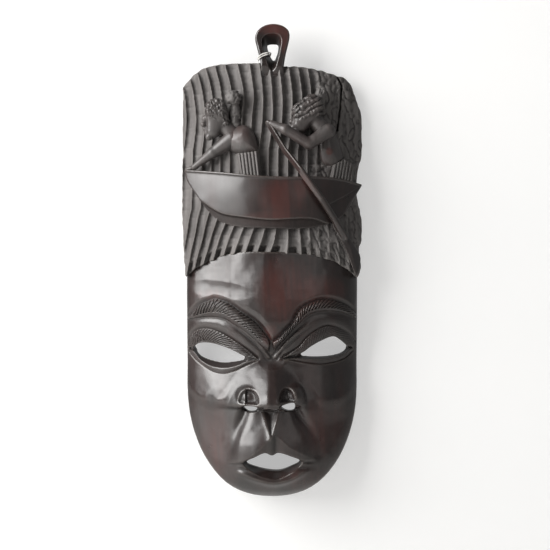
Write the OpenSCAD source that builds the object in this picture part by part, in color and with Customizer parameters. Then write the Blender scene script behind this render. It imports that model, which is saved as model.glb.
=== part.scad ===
// Carved wall mask: a long oval face under a hair panel that carries a canoe scene in relief.
// +Z is up, the viewer is in front at -Y, and the back rim lies in the plane y = 0, on the wall.
// The origin is in line with the middle of the hanging eye, on the wall plane. Millimetres.

/* [Block] */
// Half the width of the hair panel
hair_half_w = 83; // [78:1:90]
// Half the width of the face
face_half_w = 78.5; // [74:0.5:82]
// Depth of the face from the wall to the middle of its front
face_depth = 50; // [46:1:54]
// Depth of the hair panel at the hairline
hair_depth = 53; // [50:1:56]
// How far the front of the hair panel leans back towards its top, in degrees
hair_lean = 6; // [3:0.5:7]
// Thickness of the carved wall
wall_t = 12; // [9:1:14]
// Height of the lowest point of the chin, below the hanging eye
chin_z = -411; // [-420:1:-408]

/* [Hanging loop] */
// Thickness of the loop from front to back
loop_t = 16; // [12:1:18]
// Diameter of the tie string
string_d = 1.2; // [0.8:0.1:1.6]

/* [Relief] */
// How far the canoe stands out from the hair
canoe_h = 12; // [8:1:14]
// How far the brows stand out from the forehead
brow_h = 4; // [2:0.5:6]
// How deep the eye sockets are cut
socket_h = 5; // [3:0.5:7]
// How far the lips stand out from the face
lip_h = 8; // [5:0.5:10]
// Width of one carved lock of hair
lock_pitch = 9; // [7:0.5:12]

/* [Hidden] */
$fn = 96;

carved_wood = "#3a3432";
polished_wood = "#4a3330";
string_white = "#f0eeea";

// The fronts of face and hair are cylinders: the radius follows from the depth at the middle and sides
side_depth = 15;
function arc_radius(half_w, rise) = (half_w * half_w + rise * rise) / (2 * rise);
face_r = arc_radius(face_half_w, face_depth - side_depth);
hair_r = 125;
hairline_z = -200;
rim_w = 9;
// Longer than any depth or half width: how far the cutting solids reach
reach = 120;
// Heights of the cylinders that the face and the hair are cut from
face_round_h = 240;
hair_round_h = 260;
hair_round_drop = 40; // how far the hair's cylinder starts below the hairline

// ---- curves ----
// A point between b and c on the smooth curve through a, b, c and d
function between(a, b, c, d, t) =
    0.5 * (2 * b + (c - a) * t + (2 * a - 5 * b + 4 * c - d) * t * t + (3 * b - a - 3 * c + d) * t * t * t);
// A closed smooth curve through the points p
function round_trip(p, steps = 3) = let (n = len(p)) [
    for (i = [0:n - 1]) for (k = [0:steps - 1])
        between(p[(i + n - 1) % n], p[i], p[(i + 1) % n], p[(i + 2) % n], k / steps)
];
// An open smooth curve through the points p
function path_through(p, steps) = let (n = len(p) - 1) [
    for (i = [0:n - 1]) for (k = [0:steps - 1])
        between(p[max(i - 1, 0)], p[i], p[i + 1], p[min(i + 2, n)], k / steps),
    p[n]
];
// The lower half of a squarish oval, from its right side round the chin to its left side
function chin_oval(half_w, top_z, low_z, fullness = 0.9) = [
    for (a = [0:-7.5:-180])
        [half_w * sign(cos(a)) * pow(abs(cos(a)), fullness), top_z + (top_z - low_z) * sin(a)]
];

// ---- outlines seen from the front, as [x, z] ----
hairline = [
    [-79, -210], [-70, -202], [-57, -196], [-44, -191], [-25, -188.5], [13, -189], [38, -190.5],
    [57, -196], [73, -206], [79, -212]
];
hair_top = [
    [hair_half_w - 1, -190], [hair_half_w, -158], [hair_half_w - 1, -136], [hair_half_w - 3, -118],
    [hair_half_w - 2, -106], [hair_half_w, -98], [hair_half_w, -64], [78, -49], [73.5, -36],
    [67, -28.5], [57, -25.5], [42, -22], [26, -19], [9, -19], [-6, -16.5], [-37, -16.5],
    [-56, -18.5], [-68, -25], [-75, -30], [-82, -40], [-hair_half_w, -60],
    [-hair_half_w - 0.5, -120], [-hair_half_w + 1, -190]
];
face_oval = chin_oval(face_half_w, -310, chin_z);
left_eye = [
    [-71, -273], [-58, -269.5], [-46, -271], [-34, -276], [-25, -282.5], [-40, -284], [-56, -281.5]
];
right_eye = [
    [27, -279], [40, -270.5], [55, -264], [63, -267], [69, -272], [64, -277.5], [48, -280]
];
mouth_gap = [
    [-23, -377], [-15, -371.5], [-6.5, -368], [0, -370], [6, -368], [15.5, -370.5], [25, -375.5],
    [17.5, -380.5], [7.5, -384.5], [-2, -384], [-13, -381.5]
];

// ---- solids ----
// An outline of [x, z] points, swept forwards from the wall
module slab(points) rotate([90, 0, 0]) linear_extrude(reach) polygon(points);
// A side profile of [y, z] points, swept from left to right
module side_slab(points)
    rotate([90, 0, 90]) translate([0, 0, -reach]) linear_extrude(2 * reach) polygon(points);
// The cylinder of the face's front, grown by g
module face_round(g = 0)
    translate([0, face_r - face_depth, chin_z - 5]) cylinder(h = face_round_h, r = face_r + g);
// The same for the hair, which leans back
module hair_round(g = 0)
    translate([0, -hair_depth, hairline_z]) rotate([-hair_lean, 0, 0])
        translate([0, hair_r, -hair_round_drop]) cylinder(h = hair_round_h, r = hair_r + g);
// The chin curves back: an elliptical profile from the face's front to the rim
module chin_round(g = 0)
    side_slab(concat(
        [[0, -170], [-reach, -170], [-reach, chin_turn_z]],
        [for (a = [0:10:90])
            [-chin_rim_depth - (face_depth - chin_rim_depth) * cos(a) - g * cos(a),
             chin_turn_z - (chin_turn_z - chin_z) * sin(a) - g * sin(a)]],
        [[0, chin_z - g]]
    ));
chin_turn_z = -372;
chin_rim_depth = 16;

module face_form()
    intersection() {
        slab(concat(face_oval, hairline));
        face_round();
        chin_round();
    }
module hair_form()
    intersection() {
        slab(concat(hair_top, hairline));
        hair_round();
    }
// A raised piece on the face, or on the hair: its back follows the form that it stands on
module on_face(points, h)
    difference() {
        intersection() {
            slab(points);
            face_round(h);
            chin_round(h);
        }
        intersection() {
            face_round();
            chin_round();
        }
    }
module on_hair(points, h)
    difference() {
        intersection() {
            slab(points);
            hair_round(h);
        }
        hair_round();
    }
// A round bar from a to b
module bar(a, b, r)
    let (v = b - a)
        translate(a) rotate([0, acos(v[2] / norm(v)), atan2(v[1], v[0])]) cylinder(h = norm(v), r = r);

// ---- hanging loop and hair ----
loop_front = -34;
module loop_outline() polygon([
    [-10, -28], [-10.5, -12], [-15.5, 8], [-14, 13], [-8, 18], [0, 20.5], [8, 19], [14, 14.5],
    [16, 10], [10, -19], [10, -28]
]);
module eye_outline() polygon(round_trip([[-5.5, 4], [0, 8], [6, 5], [5, -6], [0.5, -17], [-3, -8]], 3));
module hanging_loop()
    color(polished_wood)
        translate([0, loop_front + loop_t, 0]) rotate([90, 0, 0]) linear_extrude(loop_t)
            difference() {
                loop_outline();
                eye_outline();
            }

// Gouged grooves between the locks, from the top of the panel down to the canoe
lock_angle = lock_pitch / hair_r * 180 / PI;
groove_r = 4;
groove_depth = 2;
groove_side = 8; // grooves on each side of the middle
groove_z = 90; // height of the grooves' lower ends above the hairline
module hair_grooves()
    translate([0, -hair_depth, hairline_z]) rotate([-hair_lean, 0, 0]) translate([0, hair_r, groove_z])
        for (i = [-groove_side:groove_side])
            rotate([0, 0, (i + 0.5) * lock_angle - 90])
                translate([hair_r + groove_r - groove_depth, 0, 0])
                    cylinder(h = reach, r = groove_r, $fn = 24);
hollow_half_w = face_half_w - rim_w;
module hair_hollow()
    intersection() {
        slab([[-hollow_half_w, -230], [-hollow_half_w, -60], [-55, -36], [-30, -31], [30, -31],
              [55, -38], [hollow_half_w, -60], [hollow_half_w, -230]]);
        hair_round(-wall_t);
    }
module hair_panel()
    color(carved_wood)
        difference() {
            hair_form();
            hair_hollow();
            hair_grooves();
            translate([0, loop_front + loop_t, 0]) rotate([90, 0, 0]) linear_extrude(2 * loop_t)
                loop_outline();
        }
// Short locks fan out between the canoe and the hairline
fringe_count = 8;
fringe_h = 3;
lock_half_w = lock_pitch * 0.42;
function fringe_top(x) = -168 + max(0, abs(x) - 46) * 1.1;
function fringe_low(x) = -187 - 0.0026 * x * x;
module hair_fringe()
    color(carved_wood)
        for (i = [-fringe_count:fringe_count]) let (x = i * lock_pitch)
            on_hair([
                [x - lock_half_w, fringe_top(x)], [x + lock_half_w, fringe_top(x)],
                [x * 1.03 + lock_half_w, fringe_low(x)], [x * 1.03 - lock_half_w, fringe_low(x)]
            ], fringe_h);

// ---- canoe and paddle ----
canoe_side = [
    [-79, -113], [-50, -115.5], [-12, -118.5], [22, -119], [44, -118.5], [63, -121], [81, -126],
    [74, -140], [64, -154], [50, -160], [33, -157], [0, -158], [-25, -155], [-47, -151],
    [-60, -147], [-69, -136], [-77, -125]
];
canoe_bottom = [
    [-60, -147], [-47, -151], [-25, -155], [0, -158], [33, -157], [50, -160], [40, -164.5],
    [13, -166], [-10, -165.5], [-31, -164], [-48, -158.5]
];
shaft_r = 3.6;
keel_h = canoe_h / 2;
gunwale_h = canoe_h - 3;
blade_h = 6;
module shaft_bar() bar([-3, -47, -72], [57, -55, -162], shaft_r);
module canoe_hull()
    color(polished_wood) difference() {
        on_hair(canoe_side, canoe_h);
        shaft_bar();
    }
module canoe_keel()
    color(carved_wood) difference() {
        on_hair(canoe_bottom, keel_h);
        shaft_bar();
    }
module canoe_gunwale()
    color(polished_wood) difference() {
        on_hair([[-80, -108.5], [-79, -113], [-50, -115.5], [-12, -118.5], [22, -119], [44, -118.5],
                 [63, -121], [81, -126], [81, -122], [63, -117], [44, -114.5], [22, -115], [-12, -114.5],
                 [-50, -111.5]], gunwale_h);
        shaft_bar();
        bow_seat();
        stern_seat();
    }
module paddle_shaft() color(polished_wood) shaft_bar();
module paddle_blade() color(polished_wood) difference() {
    on_hair([[54, -160], [60, -158], [74, -176], [83, -194], [81, -207], [74, -205], [64, -186]], blade_h);
    shaft_bar();
}

// ---- paddlers ----
skirt_h = 7;
body_h = 9;
limb_h = 8;
bow_skirt = [[-33, -98], [-10, -96], [-9, -118.6], [-34, -117]];
stern_skirt = [[54, -101], [66, -99], [74, -106], [73, -123], [56, -120]];
module bow_seat() on_hair(bow_skirt, reach / 2);
module stern_seat() on_hair(stern_skirt, reach / 2);
pleat_pitch = 4;
pleat_r = 1;
pleat_l = 30;
pleat_drop = 22; // from the top of the skirt down to the grooves' lower ends
// A pleated skirt: grooves run down it from first_x to the right
module pleated(points, first_x, count, top_z)
    difference() {
        on_hair(points, skirt_h);
        for (i = [0:count - 1])
            translate([first_x + pleat_pitch * i, -hair_depth - skirt_h + 6, top_z - pleat_drop])
                cylinder(h = pleat_l, r = pleat_r, $fn = 16);
    }
// A head in relief: its profile cut from a ball at the point centre
head_r = 18;
module head_form(points, centre)
    difference() {
        intersection() {
            slab(round_trip(points, 2));
            translate(centre) sphere(head_r);
        }
        hair_form();
    }
bow_head = [
    [-42, -51], [-52, -50], [-58, -56], [-59, -62], [-62, -67], [-59, -71], [-59, -76], [-54, -81],
    [-45, -78], [-39, -70], [-37, -60]
];
stern_head = [[24, -54], [36, -50], [44, -56], [44, -68], [38, -77], [28, -79], [20, -72], [19, -62]];
module bow_head_form() head_form(bow_head, [-50, -28, -66]);
module stern_head_form() head_form(stern_head, [31, -36, -65]);
// A bun of hair, as a round stud on the hair panel
module bun_round(x, z, r) translate([x, 0, z]) rotate([90, 0, 0]) cylinder(h = reach, r = r);
module bun(x, z, r) difference() {
    intersection() {
        bun_round(x, z, r);
        hair_round(bun_h);
    }
    hair_form();
}
bun_h = 10;
bow_bun = [-35, -48, 8.5];
stern_bun = [45, -45, 6.5];
module bow_paddler_head()
    color(carved_wood) difference() {
        bow_head_form();
        bun_round(bow_bun[0], bow_bun[1], bow_bun[2]);
    }
module bow_paddler_bun() color(carved_wood) bun(bow_bun[0], bow_bun[1], bow_bun[2]);
module bow_paddler_torso() color(polished_wood) difference() {
    on_hair(round_trip(bow_torso, 2), body_h);
    bow_head_form();
}
bow_torso = [[-41, -76], [-36, -66], [-29, -68], [-17, -79], [-10, -96], [-33, -98], [-40, -90]];
module bow_paddler_arm() color(polished_wood) difference() {
    on_hair([
        [-39, -79], [-37, -89], [-58, -104], [-66, -110], [-74, -109.5], [-73, -104], [-58, -96]
    ], limb_h);
    slab(round_trip(bow_torso, 2));
}
module bow_paddler_skirt() color(carved_wood) pleated(bow_skirt, -30, 5, -96);
module stern_paddler_head()
    color(carved_wood) difference() {
        stern_head_form();
        bun_round(stern_bun[0], stern_bun[1], stern_bun[2]);
    }
module stern_paddler_bun() color(carved_wood) bun(stern_bun[0], stern_bun[1], stern_bun[2]);
stern_torso = [[42, -77], [50, -75], [59, -79], [65, -98], [54, -101], [44, -99], [40, -88]];
module stern_paddler_torso() color(polished_wood) difference() {
    on_hair(round_trip(stern_torso, 2), body_h);
    stern_head_form();
}
module stern_paddler_arm() color(polished_wood) difference() {
    on_hair([
        [46, -79], [42, -93], [29, -93], [10, -82], [4, -77], [5, -71], [13, -74], [32, -83]
    ], limb_h);
    slab(round_trip(stern_torso, 2));
    slab(round_trip(stern_head, 2));
    shaft_bar();
}
module stern_paddler_skirt() color(carved_wood) pleated(stern_skirt, 58, 4, -99);

// ---- face ----
left_socket = [
    [-75, -276], [-70, -262], [-55, -255], [-38, -261], [-22, -273], [-11, -284], [-20, -289],
    [-36, -296], [-50, -296], [-72, -284]
];
right_socket = [
    [9, -283], [26, -269], [42, -256], [54, -251], [67, -256], [75, -267], [74, -278], [56, -290],
    [38, -292], [20, -288]
];
nostril_x = [-19.5, 14];
nostril_z = -327;
nostril_r = 4.5;
module nostril_holes()
    for (x = nostril_x)
        translate([x, -reach, nostril_z]) rotate([-90, 0, 0]) cylinder(h = reach, r = nostril_r);
module eye_gaps() {
    slab(round_trip(left_eye));
    slab(round_trip(right_eye));
}
module socket_cut(points)
    difference() {
        slab(round_trip(points));
        face_round(-socket_h);
    }
module face_hollow()
    intersection() {
        slab(concat(chin_oval(hollow_half_w, -310, chin_z + rim_w),
                    [[-hollow_half_w, -180], [hollow_half_w, -180]]));
        face_round(-wall_t);
        chin_round(-wall_t);
    }
// The face's wall is divided under the brows and under the nose
brow_line_z = -248;
nose_base_z = -336;
module face_wall(top, low)
    difference() {
        intersection() {
            face_form();
            slab([[-reach, low], [reach, low], [reach, top], [-reach, top]]);
        }
        face_hollow();
    }
module forehead() color(polished_wood) face_wall(hairline_z + 20, brow_line_z);
module cheeks()
    color(polished_wood)
        difference() {
            face_wall(brow_line_z, nose_base_z);
            socket_cut(left_socket);
            socket_cut(right_socket);
            eye_gaps();
            nostril_holes();
        }
module jaw()
    color(polished_wood)
        difference() {
            face_wall(nose_base_z, chin_z - 1);
            slab(round_trip(mouth_gap));
        }
module left_brow() color(polished_wood) on_face(round_trip([
    [-12, -255], [-24, -242], [-35, -233], [-48, -229.5], [-60, -232], [-77, -245], [-77, -250],
    [-61, -246.5], [-47, -247.5], [-36, -252], [-20, -267], [-12, -278]
]), brow_h);
module right_brow() color(polished_wood) on_face(round_trip([
    [3.5, -265], [15, -255], [26, -242], [35, -233], [48, -229.5], [60, -231], [77, -243],
    [77, -247], [60, -241], [42, -241.5], [31, -246.5], [20, -257], [10, -268]
]), brow_h);
// A lid lies in its socket, between the socket's edge and the eye, above or below the eyes' corners
eye_corners = [[-90, -273], [-25, -282.5], [27, -279], [90, -266]];
module lid(socket, eye, h, above)
    difference() {
        intersection() {
            slab(round_trip(socket));
            face_round(h);
            slab(concat(eye_corners, above ? [[90, -230], [-90, -230]] : [[90, -310], [-90, -310]]));
        }
        face_round(-socket_h);
        slab(round_trip(eye));
    }
module left_upper_lid() color(polished_wood) lid(left_socket, left_eye, 1, true);
module right_upper_lid() color(polished_wood) lid(right_socket, right_eye, 1, true);
module left_lower_lid() color(polished_wood) lid(left_socket, left_eye, -1, false);
module right_lower_lid() color(polished_wood) lid(right_socket, right_eye, -1, false);

nose_outline = [
    [-4, -286], [4, -286], [5, -300], [13, -314], [13, -326], [6, -332], [-8, -332], [-16, -326],
    [-16, -314], [-6, -300]
];
module nose_block()
    intersection() {
        slab(nose_outline);
        side_slab([
            [-40, -286], [-51, -286], [-60, -305], [-71, -320], [-72, -326], [-69, -331], [-40, -332]
        ]);
    }
module nose_ridge() color(polished_wood) difference() {
    nose_block();
    face_form();
    nostril_holes();
}
// A nostril wing: its outline from the front, rounded over from top to bottom
wing_r = 14;
wing_h = 12;
wing_z = -316;
module wing(points) difference() {
    intersection() {
        slab(round_trip(points, 2));
        translate([-reach, wing_r - face_depth - wing_h, wing_z]) rotate([0, 90, 0])
            cylinder(h = 2 * reach, r = wing_r);
    }
    face_form();
    slab(nose_outline);
    nostril_holes();
}
left_wing = [[-8, -305], [-24, -304], [-32, -308], [-36, -316], [-29, -327], [-10, -332]];
right_wing = [[6, -305], [20, -303], [27, -306], [30.5, -316], [25, -327], [8, -332]];
module left_nostril_wing() color(polished_wood) wing(left_wing);
module right_nostril_wing() color(polished_wood) wing(right_wing);

fold_h = lip_h - 3;
module left_lip_fold() color(polished_wood) on_face(round_trip([
    [-25, -334], [-9, -333], [-1, -352], [-5, -360], [-22, -368], [-34, -368], [-31, -353]
]), fold_h);
module right_lip_fold() color(polished_wood) on_face(round_trip([
    [6, -334], [20, -332], [30, -345], [38, -357], [37, -366], [25, -367], [4, -360], [1, -352]
]), fold_h);
// The lips meet at the level of the mouth's corners
lips_z = -379;
above_lips = [[-60, lips_z], [60, lips_z], [60, -360], [-60, -360]];
below_lips = [[-60, lips_z], [60, lips_z], [60, -400], [-60, -400]];
module upper_lip() color(polished_wood) difference() {
    on_face(round_trip([
        [-42, -378], [-34, -370], [-22, -370], [-5, -362], [4, -362], [25, -369], [37, -368], [38, -377],
        [25, -377], [0, -378], [-23, -379]
    ]), lip_h);
    slab(round_trip(mouth_gap));
    on_face(below_lips, 2 * lip_h);
}
module lower_lip() color(polished_wood) difference() {
    on_face(round_trip([
        [-36, -379.5], [0, -379], [37, -379.5], [31, -387], [20, -392], [2, -397], [-15, -393], [-29, -388]
    ]), lip_h);
    slab(round_trip(mouth_gap));
    on_face(above_lips, 2 * lip_h);
}

// ---- tie string: two turns round the loop's left leg, tied behind it ----
string_route = [
    [-7, -16.8, -9], [-11, -17, -9.5], [-12.2, -22, -11], [-12.4, -28, -12.5], [-11.8, -34.5, -11.8],
    [-8, -35, -9.2], [-4, -34.5, -8], [-2, -31, -7.5], [-1.6, -26, -7], [-2, -19, -7], [-5, -17, -7.5],
    [-10, -17, -8], [-12.4, -20, -9.5], [-12.8, -28, -11], [-12.2, -34.5, -10], [-8.5, -35.2, -7.6],
    [-4.2, -34.8, -6.4], [-1.8, -31, -6], [-1.2, -25, -6], [-2.5, -17.5, -7], [-6.5, -15.8, -8]
];
module tube(route, r, sides = 8) {
    n = len(route);
    along = [for (i = [0:n - 1]) route[min(i + 1, n - 1)] - route[max(i - 1, 0)]];
    points = [
        for (i = [0:n - 1])
            let (t = along[i] / norm(along[i]), u = cross(t, [0, 0, 1]) / norm(cross(t, [0, 0, 1])),
                 v = cross(t, u))
            for (k = [0:sides - 1]) route[i] + r * (cos(360 * k / sides) * u + sin(360 * k / sides) * v)
    ];
    polyhedron(points, concat(
        [[for (k = [0:sides - 1]) k]],
        [for (i = [0:n - 2]) for (k = [0:sides - 1])
            let (j = (k + 1) % sides)
            [i * sides + k, (i + 1) * sides + k, (i + 1) * sides + j, i * sides + j]],
        [[for (k = [sides - 1:-1:0]) (n - 1) * sides + k]]
    ));
}
module tie_string() color(string_white) tube(path_through(string_route, 2), string_d / 2);
knot_r = 2;
module tie_knot() color(string_white) translate([-6.8, -14, -8.5]) sphere(knot_r, $fn = 24);

hanging_loop();
hair_panel();
hair_fringe();
canoe_hull();
canoe_keel();
canoe_gunwale();
paddle_shaft();
paddle_blade();
bow_paddler_head();
bow_paddler_bun();
bow_paddler_torso();
bow_paddler_arm();
bow_paddler_skirt();
stern_paddler_head();
stern_paddler_bun();
stern_paddler_torso();
stern_paddler_arm();
stern_paddler_skirt();
forehead();
cheeks();
jaw();
left_brow();
right_brow();
left_upper_lid();
right_upper_lid();
left_lower_lid();
right_lower_lid();
nose_ridge();
left_nostril_wing();
right_nostril_wing();
left_lip_fold();
right_lip_fold();
upper_lip();
lower_lip();
tie_string();
tie_knot();
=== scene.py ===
"""The looks of a carved wooden wall mask: its wood, carving, tie string, wall, light and camera.

Shapes are carved as solids in millimetres, in the frame of the CAD model: x runs to the viewer's
right, z upwards, and depth from the wall towards the viewer. Each solid becomes a closed mesh in metres.
"""

import math

import bpy
import numpy as np
from bpy.props import FloatProperty, FloatVectorProperty, IntProperty, PointerProperty
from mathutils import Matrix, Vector


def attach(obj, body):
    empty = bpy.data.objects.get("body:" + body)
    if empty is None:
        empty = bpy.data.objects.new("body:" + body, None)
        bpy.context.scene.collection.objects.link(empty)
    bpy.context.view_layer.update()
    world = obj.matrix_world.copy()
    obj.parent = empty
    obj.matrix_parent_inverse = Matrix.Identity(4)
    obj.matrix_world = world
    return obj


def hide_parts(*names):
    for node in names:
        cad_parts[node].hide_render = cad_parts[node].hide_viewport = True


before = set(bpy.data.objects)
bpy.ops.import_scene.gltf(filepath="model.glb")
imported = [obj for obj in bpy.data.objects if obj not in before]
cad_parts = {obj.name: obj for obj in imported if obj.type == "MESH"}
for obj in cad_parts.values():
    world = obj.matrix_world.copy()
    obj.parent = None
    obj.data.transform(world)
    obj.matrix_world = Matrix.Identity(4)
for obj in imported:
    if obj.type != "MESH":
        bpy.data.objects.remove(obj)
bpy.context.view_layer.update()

bl_info = {
    "name": "Carved Wall Mask",
    "version": (1, 0, 0),
    "blender": (4, 5, 0),
    "location": "3D View > Sidebar > Mask",
    "description": "Makes a carved wooden wall mask with a canoe scene in its hair",
    "category": "Object",
}

MM = 0.001
BODY = "root"


# ---------------------------------------------------------------- settings
class MaskCarving(bpy.types.PropertyGroup):
    cell: FloatProperty(
        name="Face grain", description="Size of the mesh cells on face and hair",
        default=0.0008, min=0.0004, max=0.003, unit="LENGTH")
    fine_cell: FloatProperty(
        name="Fine grain", description="Size of the mesh cells on brows, lids and paddlers",
        default=0.0005, min=0.0003, max=0.002, unit="LENGTH")
    lock_pitch: FloatProperty(
        name="Lock width", description="Width of one gouged lock of hair",
        default=0.0088, min=0.005, max=0.014, unit="LENGTH")
    lock_depth: FloatProperty(
        name="Lock depth", description="Depth of the gouge cut along each lock",
        default=0.0039, min=0.0, max=0.005, unit="LENGTH")
    hatch_pitch: FloatProperty(
        name="Hatch spacing", description="Distance between the knife cuts on brows and lids",
        default=0.0036, min=0.001, max=0.006, unit="LENGTH")
    wall: FloatProperty(
        name="Wall thickness", description="Thickness of the hollowed block",
        default=0.012, min=0.006, max=0.016, unit="LENGTH")
    seed: IntProperty(name="Seed", description="Seed of the hand's unevenness", default=7, min=0)


class MaskWood(bpy.types.PropertyGroup):
    dark: FloatVectorProperty(
        name="Dark wood", description="Main colour of the ebony-like wood", subtype="COLOR",
        default=(0.017, 0.013, 0.012), min=0.0, max=1.0)
    red: FloatVectorProperty(
        name="Red streaks", description="Colour of the red-brown heartwood streaks", subtype="COLOR",
        default=(0.070, 0.022, 0.018), min=0.0, max=1.0)
    dusty: FloatVectorProperty(
        name="Matt cuts", description="Colour of the unpolished gouge cuts", subtype="COLOR",
        default=(0.132, 0.124, 0.120), min=0.0, max=1.0)
    sheen: FloatProperty(
        name="Polish roughness", description="Roughness of the rubbed surfaces",
        default=0.31, min=0.05, max=1.0)


class MaskStage(bpy.types.PropertyGroup):
    distance: FloatProperty(
        name="Camera distance", description="Distance of the camera from the wall",
        default=1.35, min=0.5, max=5.0, unit="LENGTH")
    framed: FloatProperty(
        name="Framed height", description="Height seen at the front of the mask",
        default=0.495, min=0.2, max=2.0, unit="LENGTH")


def carving():
    return bpy.context.scene.mask_carving


def cell_of(grain, coarser=1.0):
    return grain / MM * coarser


# ---------------------------------------------------------------- curves in the x, z plane
def smooth_line(points, closed=False, steps=6):
    """A smooth curve through given points, as an array of points."""
    p = np.array(points, float)
    spans = len(p) if closed else len(p) - 1
    t = (np.arange(steps) / steps)[:, None]
    out = []
    for i in range(spans):
        a, b, c, d = p.take(range(i - 1, i + 3), axis=0, mode="wrap" if closed else "clip")
        square, cube = 2 * a - 5 * b + 4 * c - d, 3 * b - a - 3 * c + d
        out.append(0.5 * (2 * b + (c - a) * t + square * t**2 + cube * t**3))
    if not closed:
        out.append(p[-1:])
    return np.concatenate(out)


def height_on(points, x, steps=6):
    """The height at x of the smooth curve through points that run from left to right."""
    line = smooth_line(points, steps=steps)
    return np.interp(x, line[:, 0], line[:, 1])


def line_distance(x, z, line):
    """Distance to an open line, and the length along it of the nearest point."""
    best = np.full(np.broadcast(x, z).shape, 1e9)
    along = np.zeros_like(best)
    start = 0.0
    for (ax, az), (bx, bz) in zip(line[:-1], line[1:]):
        length = math.hypot(bx - ax, bz - az)
        if length < 1e-9:
            continue
        ux, uz = (bx - ax) / length, (bz - az) / length
        t = np.clip((x - ax) * ux + (z - az) * uz, 0, length)
        d = np.hypot(x - ax - t * ux, z - az - t * uz)
        closer = d < best
        best = np.where(closer, d, best)
        along = np.where(closer, start + t, along)
        start += length
    return best, along


def outline_distance(x, z, outline):
    """Signed distance to a closed outline, negative inside it."""
    ring = np.vstack([outline, outline[:1]])
    distance, _ = line_distance(x, z, ring)
    inside = np.zeros(distance.shape, bool)
    for (ax, az), (bx, bz) in zip(ring[:-1], ring[1:]):
        if az == bz:
            continue
        crosses = (az > z) != (bz > z)
        inside ^= crosses & (x < ax + (z - az) * (bx - ax) / (bz - az))
    return np.where(inside, -distance, distance)


def unit(t):
    """The values of t, held between 0 and 1."""
    return np.clip(t, 0, 1)


def soft_step(t):
    """A smooth rise from 0 to 1, while t goes from 0 to 1."""
    t = unit(t)
    return t * t * (3 - 2 * t)


def soft_max(a, b, k):
    """The larger of a and b, with the corner between them rounded over a width of k."""
    h = unit(0.5 + 0.5 * (a - b) / k)
    return b + (a - b) * h + k * h * (1 - h)


def soft_min(a, b, k):
    return -soft_max(-a, -b, k)


def dome(x, z, cx, cz, rx, rz, power=1.5):
    """A soft round bump, one high at its middle and zero at its edge."""
    return unit(1 - ((x - cx) / rx) ** 2 - ((z - cz) / rz) ** 2) ** power


def ridge(d, width):
    """A soft ridge, one high where the distance d is zero."""
    return np.exp(-((d / width) ** 2))


def noise(x, z, size, seed, rows=64):
    """Smooth uneven hills between -1 and 1, about size across."""
    table = np.random.RandomState(carving().seed * 1000 + seed).uniform(-1, 1, (rows, rows))
    u, v = np.broadcast_arrays(x / size, z / size)
    i, j = np.floor(u).astype(int), np.floor(v).astype(int)
    s, t = soft_step(u - i), soft_step(v - j)
    at = lambda a, b: table[(i + a) % rows, (j + b) % rows]
    return (at(0, 0) * (1 - s) + at(1, 0) * s) * (1 - t) + (at(0, 1) * (1 - s) + at(1, 1) * s) * t


def between_lines(x, z, upper, lower):
    """How far across a band a point lies, from 0 at its upper line to 1 at its lower, and how far along."""
    d_up, along = line_distance(x, z, upper)
    d_low, _ = line_distance(x, z, lower)
    return d_up / (d_up + d_low + 1e-6), along


def band_outline(upper, lower):
    return np.vstack([upper, lower[::-1]])


# ---------------------------------------------------------------- solids and meshes
class Block:
    """The block of wood that a piece is carved from: sample points a cell apart, in millimetres."""

    def __init__(self, low, high, cell):
        self.cell = cell
        self.low = np.array(low, float) - 2 * cell
        counts = np.ceil((np.array(high, float) + 2 * cell - self.low) / cell).astype(int) + 1
        x, d, z = (self.low[k] + cell * np.arange(counts[k]) for k in range(3))
        self.x, self.z = x[:, None], z[None, :]
        self.depth = d[None, :, None].astype(np.float32)

    def deep(self, flat):
        """A map over x and z, spread through the block's depth."""
        return np.broadcast_to(flat, (self.x.size, self.z.size)).astype(np.float32)[:, None, :]

    def under(self, front):
        """Distance to the solid behind a carved front, given as a depth over x and z."""
        front = np.broadcast_to(front, (self.x.size, self.z.size))
        gx, gz = np.gradient(front, self.cell)
        steep = np.sqrt(1 + np.clip(gx * gx + gz * gz, 0, 9))
        return (self.depth - self.deep(front)) / self.deep(steep)

    def relief(self, front, edge, edge_round):
        """Distance to a relief with a carved front, inside an outline whose edge is rounded over."""
        return soft_max(self.under(front), self.deep(edge), edge_round)

    def back_at(self, back):
        """Distance in front of a back, given as a depth over x and z."""
        return self.deep(back) - self.depth

    def round(self, cx, cd, cz, r):
        """Distance to a ball."""
        flat = (self.x - cx) ** 2 + (self.z - cz) ** 2
        return np.sqrt(self.deep(flat) + (self.depth - cd) ** 2) - r

    def limb(self, a, b, ra, rb):
        """Distance to a tapering limb from a to b, each (x, depth, z)."""
        a, b = np.array(a, float), np.array(b, float)
        v = b - a
        rel = ((self.x - a[0]) * v[0] + (self.z - a[2]) * v[2])
        t = unit((self.deep(rel) + (self.depth - a[1]) * v[1]) / v.dot(v))
        px = self.x[:, None] - a[0] - t * v[0]
        pd = self.depth - a[1] - t * v[1]
        pz = self.z[None] - a[2] - t * v[2]
        return np.sqrt(px * px + pd * pd + pz * pz) - (ra + (rb - ra) * t)


def sample(field, at):
    """The field's values at places between its samples."""
    i = np.clip(np.floor(at).astype(int), 0, np.array(field.shape) - 2)
    t = unit(at - i)
    value = 0.0
    for corner in np.ndindex(2, 2, 2):
        weight = np.prod(np.where(corner, t, 1 - t), axis=1)
        value = value + weight * field[tuple((i + corner).T)]
    return value


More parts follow.
